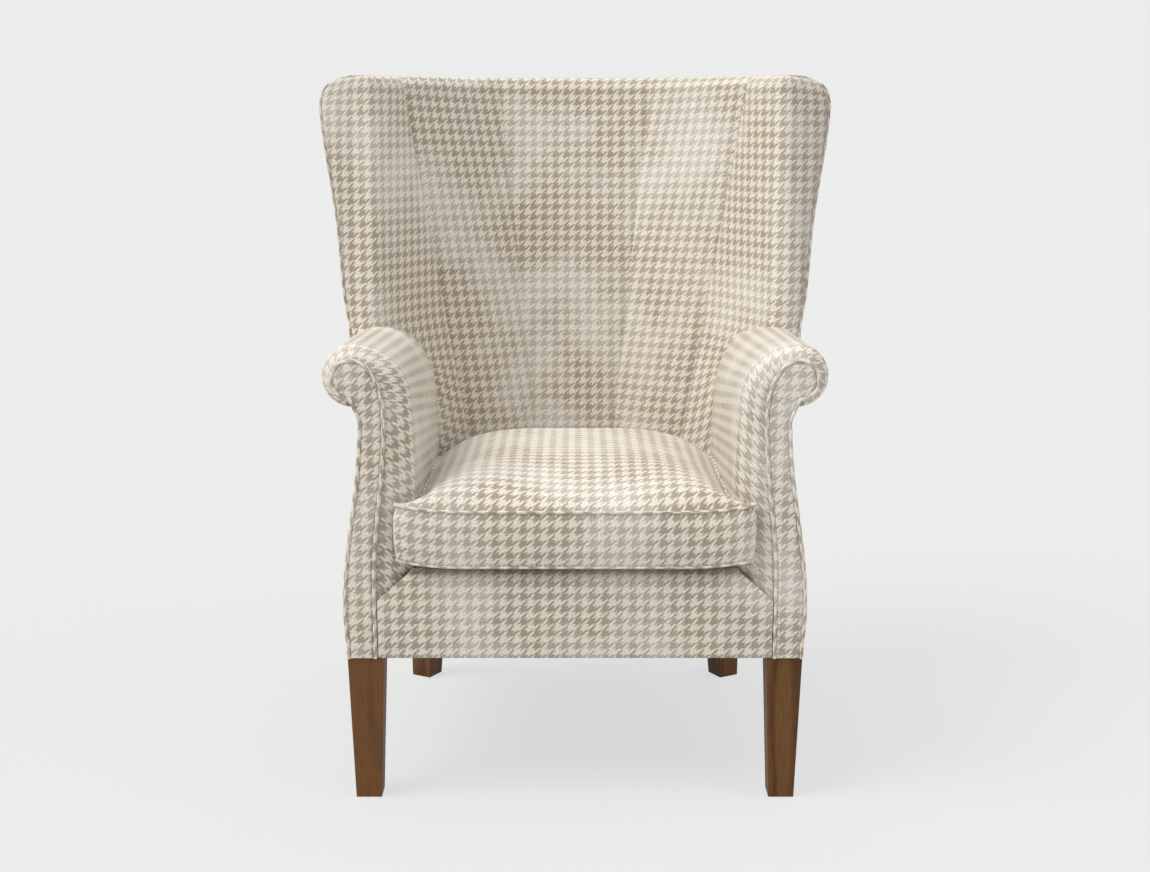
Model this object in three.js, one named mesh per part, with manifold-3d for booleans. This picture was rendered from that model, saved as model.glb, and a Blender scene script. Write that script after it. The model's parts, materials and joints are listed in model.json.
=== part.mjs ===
// Wingback armchair with a fluted barrel back, scroll arms and a loose seat cushion.
// Millimetres, +Z up, X to the viewer's right, the front of the chair towards -Y.
// The outlines are worked out with y measured rearwards from the front of the facings.
// The finished group is moved at the end so that its origin is under the middle.

import * as THREE from 'three';
import { mergeVertices } from 'three/addons/utils/BufferGeometryUtils.js';
import Module from 'manifold-3d';

const wasm = await Module();
wasm.setup();

const { degToRad, lerp, smoothstep } = THREE.MathUtils;

// Heights of the whole chair
const chairHeight = 1050;
const hemHeight = 215;
const frameTop = 300;
const neckHeight = 565;
const armLevel = 650;
const wingLevelDrop = 50;
const wingLevel = chairHeight - wingLevelDrop;

// Inside back: a barrel that leans, opens a little upwards and carries flutes
const seatLevel = 455;
const insideBackY = 523;
const backLean = degToRad(15);
const barrelRadiusAtArm = 312;
const barrelOpening = 23;
const barrelRadiusAtTop = barrelRadiusAtArm + barrelOpening;
const fluteCrown = 8;
const innerSeamLowAngle = degToRad(13.6);
const innerSeamTopAngle = degToRad(22);
const outerSeamLowAngle = degToRad(37.7);
const outerSeamTopAngle = degToRad(56);
const seamLowLevel = 490;
const backThickness = 85;
const topEdgeRadius = 24;
const shoulderHeight = chairHeight - topEdgeRadius;
const backBottom = 352;

// Wings
const wingFrontAtArm = 316;
const wingRake = degToRad(19.5);
const wingThicknessAtArm = 62;
const wingThicknessAtTop = 94;
const wingFlare = 13;
const wingFlareHeight = 210;
const wingTuck = 4;
const wingTuckHeight = 65;
const wingCornerRadius = 28;
const wingRootLow = 550;
const wingRootHigh = 620;
const wingOutsideLow = 500;
const wingOutsideHigh = 600;
const wingRootAngle = degToRad(58);
const wingBlendStartShare = 0.35;
const wingBlendEndShare = 0.9;
const noseRoundShare = 0.45;
const noseSteps = 3;
const fluteSteps = [2, 4, 3];
const outsideSteps = 8;
const cornerSteps = 3;
const topSteps = 3;
const backRowShares = [0.16, 0.316, 0.345, 0.377, 0.45, 0.6, 0.8, 1];

// Base outline seen from above
const baseRearY = 612;
const baseRearRadius = 900;
const rearCornerAngle = degToRad(45);
const rearCornerHalfWidth = 292;
const rearCornerY = 563;
const neckHalfWidth = 308.5;
const hipHalfWidth = 336;
const hipHeight = 285;
const hemHalfWidth = 332;
const baseFront = 13;
const baseArcSteps = 4;
const baseRows = 3;

// Arms
const armInnerHalfWidth = 263;
const armInnerRearHalfWidth = 229;
const armInnerRearY = 434;
const armTopHeight = 671;
const armTopFall = 14;
const rollCentreX = 314;
const rollRadius = 45;
const armInnerTopRiseFront = 98;
const armInnerTopRiseRear = 128;
const armRearY = 450;
const armFrontEdge = 16;
const sideRowShares = [0, 0.2, 0.4, 0.6, 0.8, 1];
const overSteps = 5;
const rollSteps = 8;
const frontEdgeSteps = 3;
const armLengthSteps = 3;

// Facings with their scroll
const facingNeckHalfWidth = 273;
const facingHipHalfWidth = 291;
const facingHipHeight = 320;
const scrollRadius = 25;
const scrollCentreX = 314;
const scrollCentreZ = 622;
const facingSetIn = 8;
const facingThickness = 5;
const facingFront = 0;
const pipingRadius = 3;

// Thicknesses and clearances
const farAway = 2000;
const weldDistance = 0.02;
const fabric = 2;
const clearance = 0.3;
const outerSeamDepth = 8;
const sectorSteps = 10;
const sharpestTurn = 0.6;
const wingSweepAngle = degToRad(128);
const seamGap = 0.6;
const padDepth = 45;
const strapThickness = 3;
const postDepth = 33;
const railThickness = 28;
const railBottom = 221;
const boardThickness = 24;

// Legs
const legTopSize = 52;
const legFootSize = 37.5;
const legInset = 2.5;
const legOuterX = 329;
const legBlockSize = 38;
const legFootSetForward = 4;
const rearLegX = 256;
const rearLegY = 539;
const rearLegYaw = degToRad(30);
const rearLegFootOut = 10;
const rearLegFootBack = 17;

// Hardwood frame
const rearRailSetIn = 14;
const sideTuck = 1.5;
const frameSetIn = 9.5;
const postOuterTurn = degToRad(2.5);
const postTurn = degToRad(7);
const postRows = 7;
const postSteps = 2;
const crestBelowShoulder = 24;
const crestBottom = shoulderHeight - crestBelowShoulder;
const crestHeight = 32;
const crestDepth = 26;
const crestTurn = degToRad(60);
const lowerRailBottom = 385;
const lowerRailHeight = 40;
const armPostX = 292;
const armPostWidth = 20;
const armRailBottom = 600;
const armRailHeight = 30;
const armRailWidth = 30;
const armRailBendY = 400;
const armRailRearX = 246;
const armRailRearY = 512;
const wingPostSetBack = degToRad(5);
const wingPostTurn = degToRad(9);
const wingPostPadding = 15;
const strapWidth = 50;
const lowStrapRise = 20;
const strapHeights = [armRailBottom + lowStrapRise, (armRailBottom + wingLevel) / 2];
const blockSetIn = 6;
const boltRadius = 4;
const boltHeadRadius = 8;
const boltHeadHeight = 5;
const boltSides = 8;
const boltReach = 46;
const rearBoltSlopeShare = 0.8;

// Springs, deck and front border
const springRadius = 1.8;
const springSides = 5;
const springTurns = 10;
const springStepsPerTurn = 2;
const springEase = 0.5;
const springHalfWidth = 22;
const springPlaces = [-165, -60, 60, 165];
const deckHeight = 349;
const deckGap = 1.2;
const deckCornerRadius = 12;
const edgeRollRear = 62;
const lipHeight = 344;
const lipRadius = 15;
const lipSteps = 4;
const borderFront = 1.5;
const borderHalfWidth = 284.3;
const slantLowHeight = 302;
const slantTopHalfWidth = 236;
const dustCoverSetIn = 4;
const dustCoverThickness = 1.5;
const facingEdge = 1.5;
const pipingSides = 5;
const pipingSteps = 40;
const blockReach = 62;
const rearBlockShare = 0.75;

// Loose seat cushion
const cushionFrontY = -15;
const cushionSideGap = 1;
const cushionBottom = 351;
const cushionSeamHeight = 434;
const cushionCrownHeight = 482;
const cushionCornerRadius = 60;
const cushionSag = 5;
const cushionSideShares = [[0, 1], [0.12, 0.2], [0.5, 0], [0.88, 0.2], [1, 1]];
const cushionCrownShares = [[0.94, 0.24], [0.8, 0.6], [0.58, 0.88], [0.3, 1]];
const crownCentreY = 270;
const seatArcSteps = 5;
const seatCornerSteps = 4;
const seatCornerDepthShare = 0.67;
const seatSideSteps = 2;
const cordRadius = 2.5;
const cordSides = 5;
const zipHeight = (cushionBottom + cushionSeamHeight) / 2;
const zipHalfWidth = 9;
const zipHalfLength = 170;
const zipFront = 330;
const zipClosedTurn = degToRad(-34);
const sliderHalfTurn = degToRad(1.6);
const sliderThickness = 3;
const sliderHalfHeight = 5;

// Finishes
const finish = (color, roughness, metalness) => () => (
  new THREE.MeshStandardMaterial({ color, roughness, metalness })
);
const houndstooth = finish(0xcfc6b8, 0.95, 0);
const walnutStainedOak = finish(0x7a4d2c, 0.5, 0);
const plainBeech = finish(0xc8a578, 0.7, 0);
const paleFoam = finish(0xe6dfc8, 0.95, 0);
const brightSteel = finish(0x9a9da0, 0.35, 1);
const blackCloth = finish(0x24221f, 0.95, 0);
const juteWeb = finish(0x9c7f52, 0.95, 0);

// Solid making

function solidFrom(points, triangles) {
  const vertProperties = new Float32Array(points.length * 3);
  points.forEach((p, i) => vertProperties.set([p.x, p.y, p.z], i * 3));
  let flipped = triangles;
  if (signedVolume(points, triangles) < 0) flipped = triangles.map(([a, b, c]) => [a, c, b]);
  const triVerts = new Uint32Array(flipped.flat());
  return new wasm.Manifold(new wasm.Mesh({ numProp: 3, vertProperties, triVerts }));
}

function signedVolume(points, triangles) {
  const cross = new THREE.Vector3();
  return triangles.reduce((sum, [a, b, c]) => {
    cross.crossVectors(points[b], points[c]);
    return sum + points[a].dot(cross);
  }, 0);
}

function capTriangles(ring) {
  const normal = new THREE.Vector3();
  ring.forEach((p, i) => normal.add(new THREE.Vector3().crossVectors(p, ring[(i + 1) % ring.length])));
  normal.normalize();
  const across = Math.abs(normal.x) > Math.abs(normal.z)
    ? new THREE.Vector3(0, 0, 1)
    : new THREE.Vector3(1, 0, 0);
  across.addScaledVector(normal, -across.dot(normal)).normalize();
  const up = new THREE.Vector3().crossVectors(normal, across);
  const flat = ring.map((p) => new THREE.Vector2(p.dot(across), p.dot(up)));
  return THREE.ShapeUtils.triangulateShape(flat, []).map(([a, b, c]) => {
    const ab = flat[b].clone().sub(flat[a]);
    const ac = flat[c].clone().sub(flat[a]);
    return ab.cross(ac) < 0 ? [a, c, b] : [a, b, c];
  });
}

// A closed body through a stack of rings with equal counts, capped at both ends.
// Each quad is split so that the two halves of the chair mirror each other.
function loft(rings) {
  const count = rings[0].length;
  const points = rings.flat();
  const triangles = [];
  for (let k = 0; k < rings.length - 1; k += 1) {
    for (let j = 0; j < count; j += 1) {
      const a = k * count + j;
      const b = k * count + (j + 1) % count;
      const across = points[a].x + points[b].x + points[a + count].x + points[b + count].x;
      if (across < 0) triangles.push([a, b, a + count], [b, b + count, a + count]);
      else triangles.push([a, b, b + count], [a, b + count, a + count]);
    }
  }
  const last = (rings.length - 1) * count;
  capTriangles(rings[0]).forEach(([a, b, c]) => triangles.push([a, c, b]));
  capTriangles(rings[rings.length - 1]).forEach(([a, b, c]) => {
    triangles.push([a + last, b + last, c + last]);
  });
  return solidFrom(points, triangles);
}

function fromGeometry(geometry) {
  geometry.deleteAttribute('normal');
  geometry.deleteAttribute('uv');
  const merged = mergeVertices(geometry);
  const place = merged.getAttribute('position');
  const points = Array.from({ length: place.count }, (_, i) => (
    new THREE.Vector3().fromBufferAttribute(place, i)
  ));
  const index = merged.index.array;
  const triangles = [];
  for (let i = 0; i < index.length; i += 3) triangles.push([index[i], index[i + 1], index[i + 2]]);
  return solidFrom(points, triangles);
}

function toGeometry(solid) {
  const mesh = solid.getMesh();
  const geometry = new THREE.BufferGeometry();
  const positions = new Float32Array(mesh.numVert * 3);
  for (let i = 0; i < mesh.numVert; i += 1) {
    for (let k = 0; k < 3; k += 1) positions[i * 3 + k] = mesh.vertProperties[i * mesh.numProp + k];
  }
  geometry.setAttribute('position', new THREE.BufferAttribute(positions, 3));
  geometry.setIndex(new THREE.BufferAttribute(new Uint32Array(mesh.triVerts), 1));
  return withoutSlivers(mergeVertices(geometry, weldDistance));
}

// Drops the triangles that lost an edge when close points became one
function withoutSlivers(geometry) {
  const index = geometry.index.array;
  const kept = [];
  for (let i = 0; i < index.length; i += 3) {
    const [a, b, c] = index.slice(i, i + 3);
    if (a !== b && b !== c && a !== c) kept.push(a, b, c);
  }
  geometry.setIndex(kept);
  geometry.computeVertexNormals();
  return geometry;
}

// The main body of a cut piece, without the offcuts
function mainBody(solid) {
  return solid.decompose().sort((a, b) => b.volume() - a.volume())[0];
}

// The same body on the other side of the chair
function mirrored(solid) {
  const mesh = solid.getMesh();
  const at = (i) => mesh.vertProperties.slice(i * mesh.numProp, i * mesh.numProp + 3);
  const points = Array.from({ length: mesh.numVert }, (_, i) => {
    const [x, y, z] = at(i);
    return new THREE.Vector3(-x, y, z);
  });
  const triangles = [];
  for (let i = 0; i < mesh.triVerts.length; i += 3) triangles.push([...mesh.triVerts.slice(i, i + 3)]);
  return solidFrom(points, triangles);
}

// A box between two corners, grown by the same amount on every side
function block(low, high, grow = 0) {
  const size = high.clone().sub(low).addScalar(2 * grow);
  const geometry = new THREE.BoxGeometry(size.x, size.y, size.z);
  geometry.translate(...low.clone().add(high).multiplyScalar(0.5).toArray());
  return fromGeometry(geometry);
}

// Moves each point of a closed outline inwards, at right angles to its neighbours
function inset(outline, depth) {
  if (depth === 0) return outline;
  const turn = THREE.ShapeUtils.isClockWise(outline) ? -1 : 1;
  return outline.map((p, i) => {
    const before = outline[(i + outline.length - 1) % outline.length];
    const after = outline[(i + 1) % outline.length];
    const arrive = p.clone().sub(before).normalize();
    const leave = after.clone().sub(p).normalize();
    const along = arrive.clone().add(leave).normalize();
    const stretch = 1 / Math.max(sharpestTurn, along.dot(leave));
    const move = turn * depth * stretch;
    return new THREE.Vector2(p.x - move * along.y, p.y + move * along.x);
  });
}

const flatRing = (outline, z) => outline.map((p) => new THREE.Vector3(p.x, p.y, z));
const uprightRing = (outline, y) => outline.map((p) => new THREE.Vector3(p.x, y, p.y));
const steps = (from, to, count) => Array.from({ length: count + 1 }, (_, i) => lerp(from, to, i / count));

// Outlines of the back and wings

const share = (value, low, high) => (value - low) / (high - low);
const clamp01 = (value) => Math.min(1, Math.max(0, value));
const backY = (z) => insideBackY + (z - seatLevel) * Math.tan(backLean);
const riseShare = (z) => share(z, armLevel, wingLevel);
const barrelRadius = (z) => lerp(barrelRadiusAtArm, barrelRadiusAtTop, riseShare(z));
const barrelCentreY = (z) => backY(z) - barrelRadius(z);

// A wing thickens upwards, flares at the top and tucks in where it meets the arm
function wingThickness(z) {
  const even = lerp(wingThicknessAtArm, wingThicknessAtTop, Math.max(0, riseShare(z)));
  const flare = wingFlare * smoothstep(z, wingLevel - wingFlareHeight, wingLevel);
  return even + flare - wingTuck * (1 - smoothstep(z, armLevel, armLevel + wingTuckHeight));
}

const wingFrontY = (z) => wingFrontAtArm + (z - armLevel) * Math.tan(wingRake);
const seamShare = (z) => share(z, seamLowLevel, wingLevel);
const innerSeamAngle = (z) => lerp(innerSeamLowAngle, innerSeamTopAngle, seamShare(z));
const outerSeamAngle = (z) => lerp(outerSeamLowAngle, outerSeamTopAngle, seamShare(z));

// The angle at which the inside of a wing turns into its front
function wingAngle(z) {
  const middle = barrelRadius(z) + wingThickness(z) / 2;
  const reach = wingFrontY(z) + wingCornerRadius - barrelCentreY(z);
  const open = Math.acos(reach / middle);
  return lerp(wingRootAngle, open, smoothstep(z, wingRootLow, wingRootHigh));
}

// Each flute stands proud of its seams by an even bow
function crownAt(angle, z) {
  const a = Math.abs(angle);
  const edges = [-innerSeamAngle(z), innerSeamAngle(z), outerSeamAngle(z), wingAngle(z)];
  const upper = edges.findIndex((edge, i) => i > 0 && a <= edge);
  if (upper < 1) return 0;
  const across = share(a, edges[upper - 1], edges[upper]) * 2 - 1;
  return fluteCrown * (1 - across * across);
}

const innerRadius = (angle, z) => barrelRadius(z) - crownAt(angle, z);

function upholsteryThickness(angle, z) {
  const towardsWing = smoothstep(Math.abs(angle) / wingAngle(z), wingBlendStartShare, wingBlendEndShare);
  return lerp(backThickness, wingThickness(z), towardsWing);
}

// Outlines of the base and the sides

function frontHalfWidth(z) {
  if (z >= neckHeight) return neckHalfWidth;
  if (z >= hipHeight) return lerp(hipHalfWidth, neckHalfWidth, waveShare(share(z, hipHeight, neckHeight)));
  return lerp(hemHalfWidth, hipHalfWidth, waveShare(share(z, hemHeight, hipHeight)));
}

const waveShare = (value) => (1 - Math.cos(Math.PI * clamp01(value))) / 2;

// The rear corner stands upright up to the top of the frame and then joins the barrel
function cornerAngle(z) {
  const lowAngle = Math.atan2(rearCornerHalfWidth, rearCornerY - barrelCentreY(z));
  return lerp(lowAngle, rearCornerAngle, clamp01(share(z, frameTop, armLevel)));
}

function baseArcRadius(angle, z) {
  const lead = barrelCentreY(z) - (baseRearY - baseRearRadius);
  const along = lead * Math.cos(angle);
  return Math.sqrt(along * along - lead * lead + baseRearRadius * baseRearRadius) - along;
}

function rearRadius(angle, z) {
  const barrel = barrelRadius(z) + upholsteryThickness(angle, z);
  return lerp(baseArcRadius(angle, z), barrel, smoothstep(z, frameTop, armLevel));
}

function rearCorner(z) {
  const angle = cornerAngle(z);
  const reach = rearRadius(angle, z);
  return new THREE.Vector2(reach * Math.sin(angle), barrelCentreY(z) + reach * Math.cos(angle));
}

// Half width of the outside at a distance behind the facings
function sideX(y, z) {
  const corner = rearCorner(z);
  return lerp(frontHalfWidth(z), corner.x, y / corner.y);
}

function sideRadius(angle, z) {
  const corner = rearCorner(z);
  const taper = (corner.x - frontHalfWidth(z)) / corner.y;
  const start = frontHalfWidth(z) + taper * barrelCentreY(z);
  return start / (Math.sin(angle) - taper * Math.cos(angle));
}

function outerRadius(angle, z) {
  const a = Math.abs(angle);
  if (a <= cornerAngle(z)) return rearRadius(a, z);
  const barrel = barrelRadius(z) + upholsteryThickness(a, z);
  const tucked = sideRadius(a, z) - sideTuck * smoothstep(a, cornerAngle(z), wingRootAngle);
  return lerp(tucked, barrel, smoothstep(z, wingOutsideLow, wingOutsideHigh));
}

const onBarrel = (angle, radius, z) => new THREE.Vector2(
  radius * Math.sin(angle),
  barrelCentreY(z) + radius * Math.cos(angle),
);

// Right half of the rounded front of a wing, from its inner to its outer side
function wingNose(z) {
  const angle = wingAngle(z);
  const inner = innerRadius(angle, z);
  const outer = outerRadius(angle, z);
  const radius = Math.min(wingCornerRadius, (outer - inner) * noseRoundShare);
  const ahead = new THREE.Vector2(Math.cos(angle), -Math.sin(angle));
  const outwards = new THREE.Vector2(Math.sin(angle), Math.cos(angle));
  const corners = [[inner + radius, Math.PI, Math.PI / 2], [outer - radius, Math.PI / 2, 0]];
  return corners.flatMap(([reach, from, to]) => steps(from, to, noseSteps).map((turn) => {
    const point = outwards.clone().multiplyScalar(reach + radius * Math.cos(turn));
    point.addScaledVector(ahead, radius * Math.sin(turn));
    point.y += barrelCentreY(z);
    return point;
  }));
}

// Angles of the inside outline, with points on every seam
function insideAngles(z) {
  const seams = [0, innerSeamAngle(z), outerSeamAngle(z), wingAngle(z)];
  const half = fluteSteps.flatMap((count, i) => steps(seams[i], seams[i + 1], count).slice(1));
  return [...half.slice(0, -1).reverse().map((a) => -a), 0, ...half.slice(0, -1)];
}

function backOutline(z) {
  const inside = insideAngles(z).map((a) => onBarrel(a, innerRadius(a, z), z));
  const nose = wingNose(z);
  const end = wingAngle(z);
  const turn = cornerAngle(z);
  const legs = [[end, turn, cornerSteps], [turn, -turn, outsideSteps], [-turn, -end, cornerSteps]];
  const outside = legs.flatMap(([from, to, count]) => steps(from, to, count).slice(1))
    .slice(0, -1)
    .map((a) => onBarrel(a, outerRadius(a, z), z));
  const otherNose = nose.map((p) => new THREE.Vector2(-p.x, p.y)).reverse();
  return [...inside, ...nose, ...outside, ...otherNose];
}

// The whole padded back and wings, drawn in by a depth all over
function backVolume(depth, bottom) {
  const lowest = bottom < backBottom ? [bottom, backBottom] : [bottom];
  const levels = [...lowest, ...backRowShares.map((part) => lerp(backBottom, shoulderHeight, part))];
  const rings = levels.map((z) => flatRing(inset(backOutline(z), depth), z));
  const round = topEdgeRadius - depth;
  steps(0, Math.PI / 2, topSteps).slice(1).forEach((turn) => {
    const drawn = depth + round * (1 - Math.cos(turn));
    rings.push(flatRing(inset(backOutline(shoulderHeight), drawn), shoulderHeight + round * Math.sin(turn)));
  });
  return loft(rings);
}

// Outlines of the right arm and its facing, seen from the front

const armInnerX = (y) => lerp(armInnerHalfWidth, armInnerRearHalfWidth, y / armInnerRearY);
const armTop = (y) => armTopHeight - armTopFall * y / wingFrontAtArm;
const armInnerTopRise = (y) => lerp(armInnerTopRiseFront, armInnerTopRiseRear, y / armInnerRearY);
const bowed = (centreX, centreZ, radiusX, radiusZ, from, to, count) => steps(from, to, count)
  .map((turn) => new THREE.Vector2(centreX + radiusX * Math.cos(turn), centreZ + radiusZ * Math.sin(turn)));

// Points up the inner side, over the top, round the roll and down the outer side
function armSection(y) {
  const top = armTop(y);
  const innerX = armInnerX(y);
  const rise = armInnerTopRise(y);
  const innerTop = top - rise;
  const inner = sideRowShares.map((part) => new THREE.Vector2(innerX, lerp(hemHeight, innerTop, part)));
  const over = bowed(rollCentreX, innerTop, rollCentreX - innerX, rise, Math.PI, Math.PI / 2, overSteps);
  const rollCentreZ = top - rollRadius;
  const roll = bowed(rollCentreX, rollCentreZ, rollRadius, rollRadius, Math.PI / 2, -Math.PI / 2, rollSteps);
  const outer = sideRowShares.map((part) => {
    const z = lerp(hemHeight, neckHeight, part);
    return new THREE.Vector2(sideX(y, z), z);
  });
  return [...inner, ...over.slice(1, -1), ...roll, ...outer.reverse()];
}

function facingOutline() {
  const narrowing = (z) => waveShare(share(z, facingHipHeight, neckHeight));
  const innerX = (z) => lerp(facingHipHalfWidth, facingNeckHalfWidth, narrowing(z));
  const innerTop = neckHeight + facingSetIn;
  const scrollTop = scrollCentreZ + scrollRadius;
  const inner = sideRowShares.map((part) => {
    const z = lerp(hemHeight, innerTop, part);
    return new THREE.Vector2(innerX(z), z);
  });
  const over = bowed(
    scrollCentreX,
    innerTop,
    scrollCentreX - facingNeckHalfWidth,
    scrollTop - innerTop,
    Math.PI,
    Math.PI / 2,
    overSteps,
  );
  const scroll = bowed(
    scrollCentreX,
    scrollCentreZ,
    scrollRadius,
    scrollRadius,
    Math.PI / 2,
    -Math.PI / 2,
    rollSteps,
  );
  const outer = sideRowShares.map((part) => {
    const z = lerp(hemHeight, neckHeight, part);
    return new THREE.Vector2(frontHalfWidth(z) - facingSetIn, z);
  });
  return [...inner, ...over.slice(1, -1), ...scroll, ...outer.reverse()];
}

const blendOutlines = (from, to, part) => from.map((p, i) => p.clone().lerp(to[i], part));

// The whole padded arm down to the hem, drawn in by a depth all over
function armVolume(depth, rear) {
  const front = facingThickness + facingFront + clearance;
  const start = inset(facingOutline(), -pipingRadius / 2).map((p) => point(p.x, Math.max(hemHeight, p.y)));
  const rings = steps(0, Math.PI / 2, frontEdgeSteps).map((turn) => {
    const y = front + armFrontEdge * (1 - Math.cos(turn));
    return uprightRing(inset(blendOutlines(start, armSection(y), Math.sin(turn)), depth), y + depth);
  });
  steps(front + armFrontEdge, armRearY, armLengthSteps).slice(1, -1).forEach((y) => {
    rings.push(uprightRing(inset(armSection(y), depth), y + depth));
  });
  rings.push(uprightRing(inset(armSection(rear), depth), rear));
  return loft(rings);
}

// The base between the arms, from the hem to the seat deck
function baseOutline(z) {
  const rear = rearCorner(z);
  const arc = steps(0, cornerAngle(z), baseArcSteps).map((a) => onBarrel(a, rearRadius(a, z), z));
  const front = baseFront;
  const side = new THREE.Vector2(sideX(front, z) - sideTuck, front);
  const half = [...arc.slice(1, -1), rear, side];
  const other = half.map((p) => new THREE.Vector2(-p.x, p.y)).reverse();
  return [arc[0], ...half, ...other];
}

function baseVolume(depth) {
  const levels = [hemHeight - depth, ...steps(hemHeight, backBottom, baseRows).slice(1)];
  return loft(levels.map((z) => flatRing(inset(baseOutline(z), depth), z)));
}

// Cutting regions

// A piece of the ring round the barrel, between two angles and two radii
function ringSector(levels, fromAngle, toAngle, innerReach, outerReach, count = sectorSteps) {
  return loft(levels.map((z) => {
    const angles = steps(fromAngle(z), toAngle(z), count);
    const inner = angles.map((a) => onBarrel(a, innerReach(a, z), z));
    const outer = angles.map((a) => onBarrel(a, outerReach(a, z), z)).reverse();
    return flatRing([...inner, ...outer], z);
  }));
}

// An upright prism from an outline seen from above
const prism = (outline, low, high) => loft([flatRing(outline, low), flatRing(outline, high)]);
const point = (x, y) => new THREE.Vector2(x, y);
const corner = (x, y, z) => new THREE.Vector3(x, y, z);
const join = (solids) => solids.reduce((whole, solid) => whole.add(solid));
const without = (solid, cutters) => cutters.reduce((rest, cutter) => rest.subtract(cutter), solid);

const overrun = 40;
const allLevels = [
  hemHeight - overrun,
  hemHeight,
  hipHeight,
  backBottom,
  ...backRowShares.map((part) => lerp(backBottom, shoulderHeight, part)),
  chairHeight + overrun,
];
const wingEnd = () => wingSweepAngle;
const asTurn = (length) => length / barrelRadiusAtArm;

// How far out the inner covers reach. Below the wings it follows the flat sides.
function outsideLayer(angle, z) {
  const a = Math.abs(angle);
  const outside = outerRadius(a, z);
  const onSide = z < wingOutsideHigh && a > cornerAngle(z);
  return (onSide ? Math.min(outside, sideRadius(a, z) - sideTuck) : outside) - outerSeamDepth;
}

const farOut = (a, z) => outerRadius(a, z) + overrun;
const deepInside = () => barrelRadiusAtArm / 3;

// Everything within the outer layer, round the whole sweep of the back and wings
const coreZone = (grow) => ringSector(
  allLevels,
  () => -wingSweepAngle,
  wingEnd,
  deepInside,
  (a, z) => outsideLayer(a, z) + grow,
  sectorSteps * 2,
);

// A wedge about the middle of the back, as wide as an angle that changes with height
const wedge = (angleAt, grow) => ringSector(
  allLevels,
  (z) => -angleAt(z) - asTurn(grow),
  (z) => angleAt(z) + asTurn(grow),
  deepInside,
  farOut,
);

const outsideSideZone = ringSector(allLevels, () => 0, wingEnd, (a, z) => outsideLayer(a, z), farOut);

// The inner side, top and roll of the right arm, above the deck
function armZone() {
  const innerHalf = block(
    corner(armInnerRearHalfWidth - armFrontEdge, -overrun, frameTop),
    corner(facingNeckHalfWidth + facingSetIn, armRearY + overrun, chairHeight),
  );
  const rollHalf = block(
    corner(facingNeckHalfWidth, -overrun, neckHeight + facingSetIn),
    corner(hipHalfWidth + rollRadius, armRearY + overrun, chairHeight),
  );
  return innerHalf.add(rollHalf);
}

// Upholstered volumes at the depth of the cloth, of the padding and of a clearance outside
const rightArm = armVolume(0, armRearY);
const rightArmInside = armVolume(fabric, armRearY + fabric);
const rightArmPadded = armVolume(fabric + clearance, armRearY - clearance);
const back = backVolume(0, backBottom);
const backInside = backVolume(fabric, backBottom - fabric);
const backPadded = backVolume(fabric + clearance, backBottom + clearance);
const backGrown = backVolume(-seamGap, backBottom - fabric * 2);
const outerVolume = join([back, rightArm, mirrored(rightArm), baseVolume(0)]);
const innerVolume = join([backInside, rightArmInside, mirrored(rightArmInside), baseVolume(fabric)]);
const cloth = outerVolume.subtract(innerVolume);
const backCloth = cloth.intersect(back);
const armCutter = armZone().subtract(back);
const rightHalf = block(corner(0, -farAway, 0), corner(farAway, farAway, farAway));
const insideCore = coreZone(0);
const beyondCore = coreZone(seamGap);

// Frame pieces. Each takes an amount to grow by, so that its neighbours can be cut to clear it.

function squareRing(x, y, size, yaw, z) {
  const half = size / 2;
  const corners = [[-half, -half], [half, -half], [half, half], [-half, half]];
  const turned = corners.map(([dx, dy]) => point(dx, dy).rotateAround(point(0, 0), yaw));
  return flatRing(turned.map((p) => p.add(point(x, y))), z);
}

function leg(footX, footY, topX, topY, yaw, grow) {
  const size = 2 * grow;
  const shoulder = hemHeight - clearance + grow;
  const rings = [
    squareRing(footX, footY, legFootSize + size, yaw, -grow),
    squareRing(topX, topY, legTopSize + size, yaw, shoulder),
    squareRing(topX, topY, legBlockSize + size, yaw, shoulder + clearance),
    squareRing(topX, topY, legBlockSize + size, yaw, frameTop + grow),
  ];
  return loft(rings);
}

const frontLegX = legOuterX - legTopSize / 2;
const frontLegY = legInset + legTopSize / 2;
const frontLeg = (grow) => leg(frontLegX, frontLegY - legFootSetForward, frontLegX, frontLegY, 0, grow);
const rearLeg = (grow) => leg(
  rearLegX + rearLegFootOut,
  rearLegY + rearLegFootBack,
  rearLegX,
  rearLegY,
  rearLegYaw,
  grow,
);

const coverInset = fabric + clearance * 2;
const blockHalf = legBlockSize / 2;
const railEnd = frontLegX - blockHalf - clearance;
const railFront = frontLegY - boardThickness / 2;
const railRear = railFront + boardThickness;

const frontRail = (grow) => block(
  corner(-railEnd, railFront, railBottom),
  corner(railEnd, railRear, frameTop),
  grow,
);

function sideRail(grow) {
  const outline = steps(frontLegY + blockHalf + clearance, rearLegY, 2).map((y) => {
    const outer = Math.min(sideX(y, hemHeight), sideX(y, frameTop)) - coverInset;
    return [point(outer + grow, y), point(outer - railThickness - grow, y)];
  });
  const ring = [...outline.map(([outer]) => outer), ...outline.map(([, inner]) => inner).reverse()];
  const rail = prism(ring, railBottom - grow, frameTop + grow);
  return rail.subtract(rearLeg(grow > 0 ? 0 : clearance));
}

function rearArc(reachOut, reachIn, halfWidth, grow, low, high) {
  const centreY = baseRearY - baseRearRadius;
  const turn = Math.asin(halfWidth / baseRearRadius);
  const arc = (radius) => steps(-turn, turn, baseArcSteps * 2)
    .map((a) => point(radius * Math.sin(a), centreY + radius * Math.cos(a)));
  const outer = arc(baseRearRadius - reachOut + grow);
  const inner = arc(baseRearRadius - reachIn - grow).reverse();
  return prism([...outer, ...inner], low - grow, high + grow);
}

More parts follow.
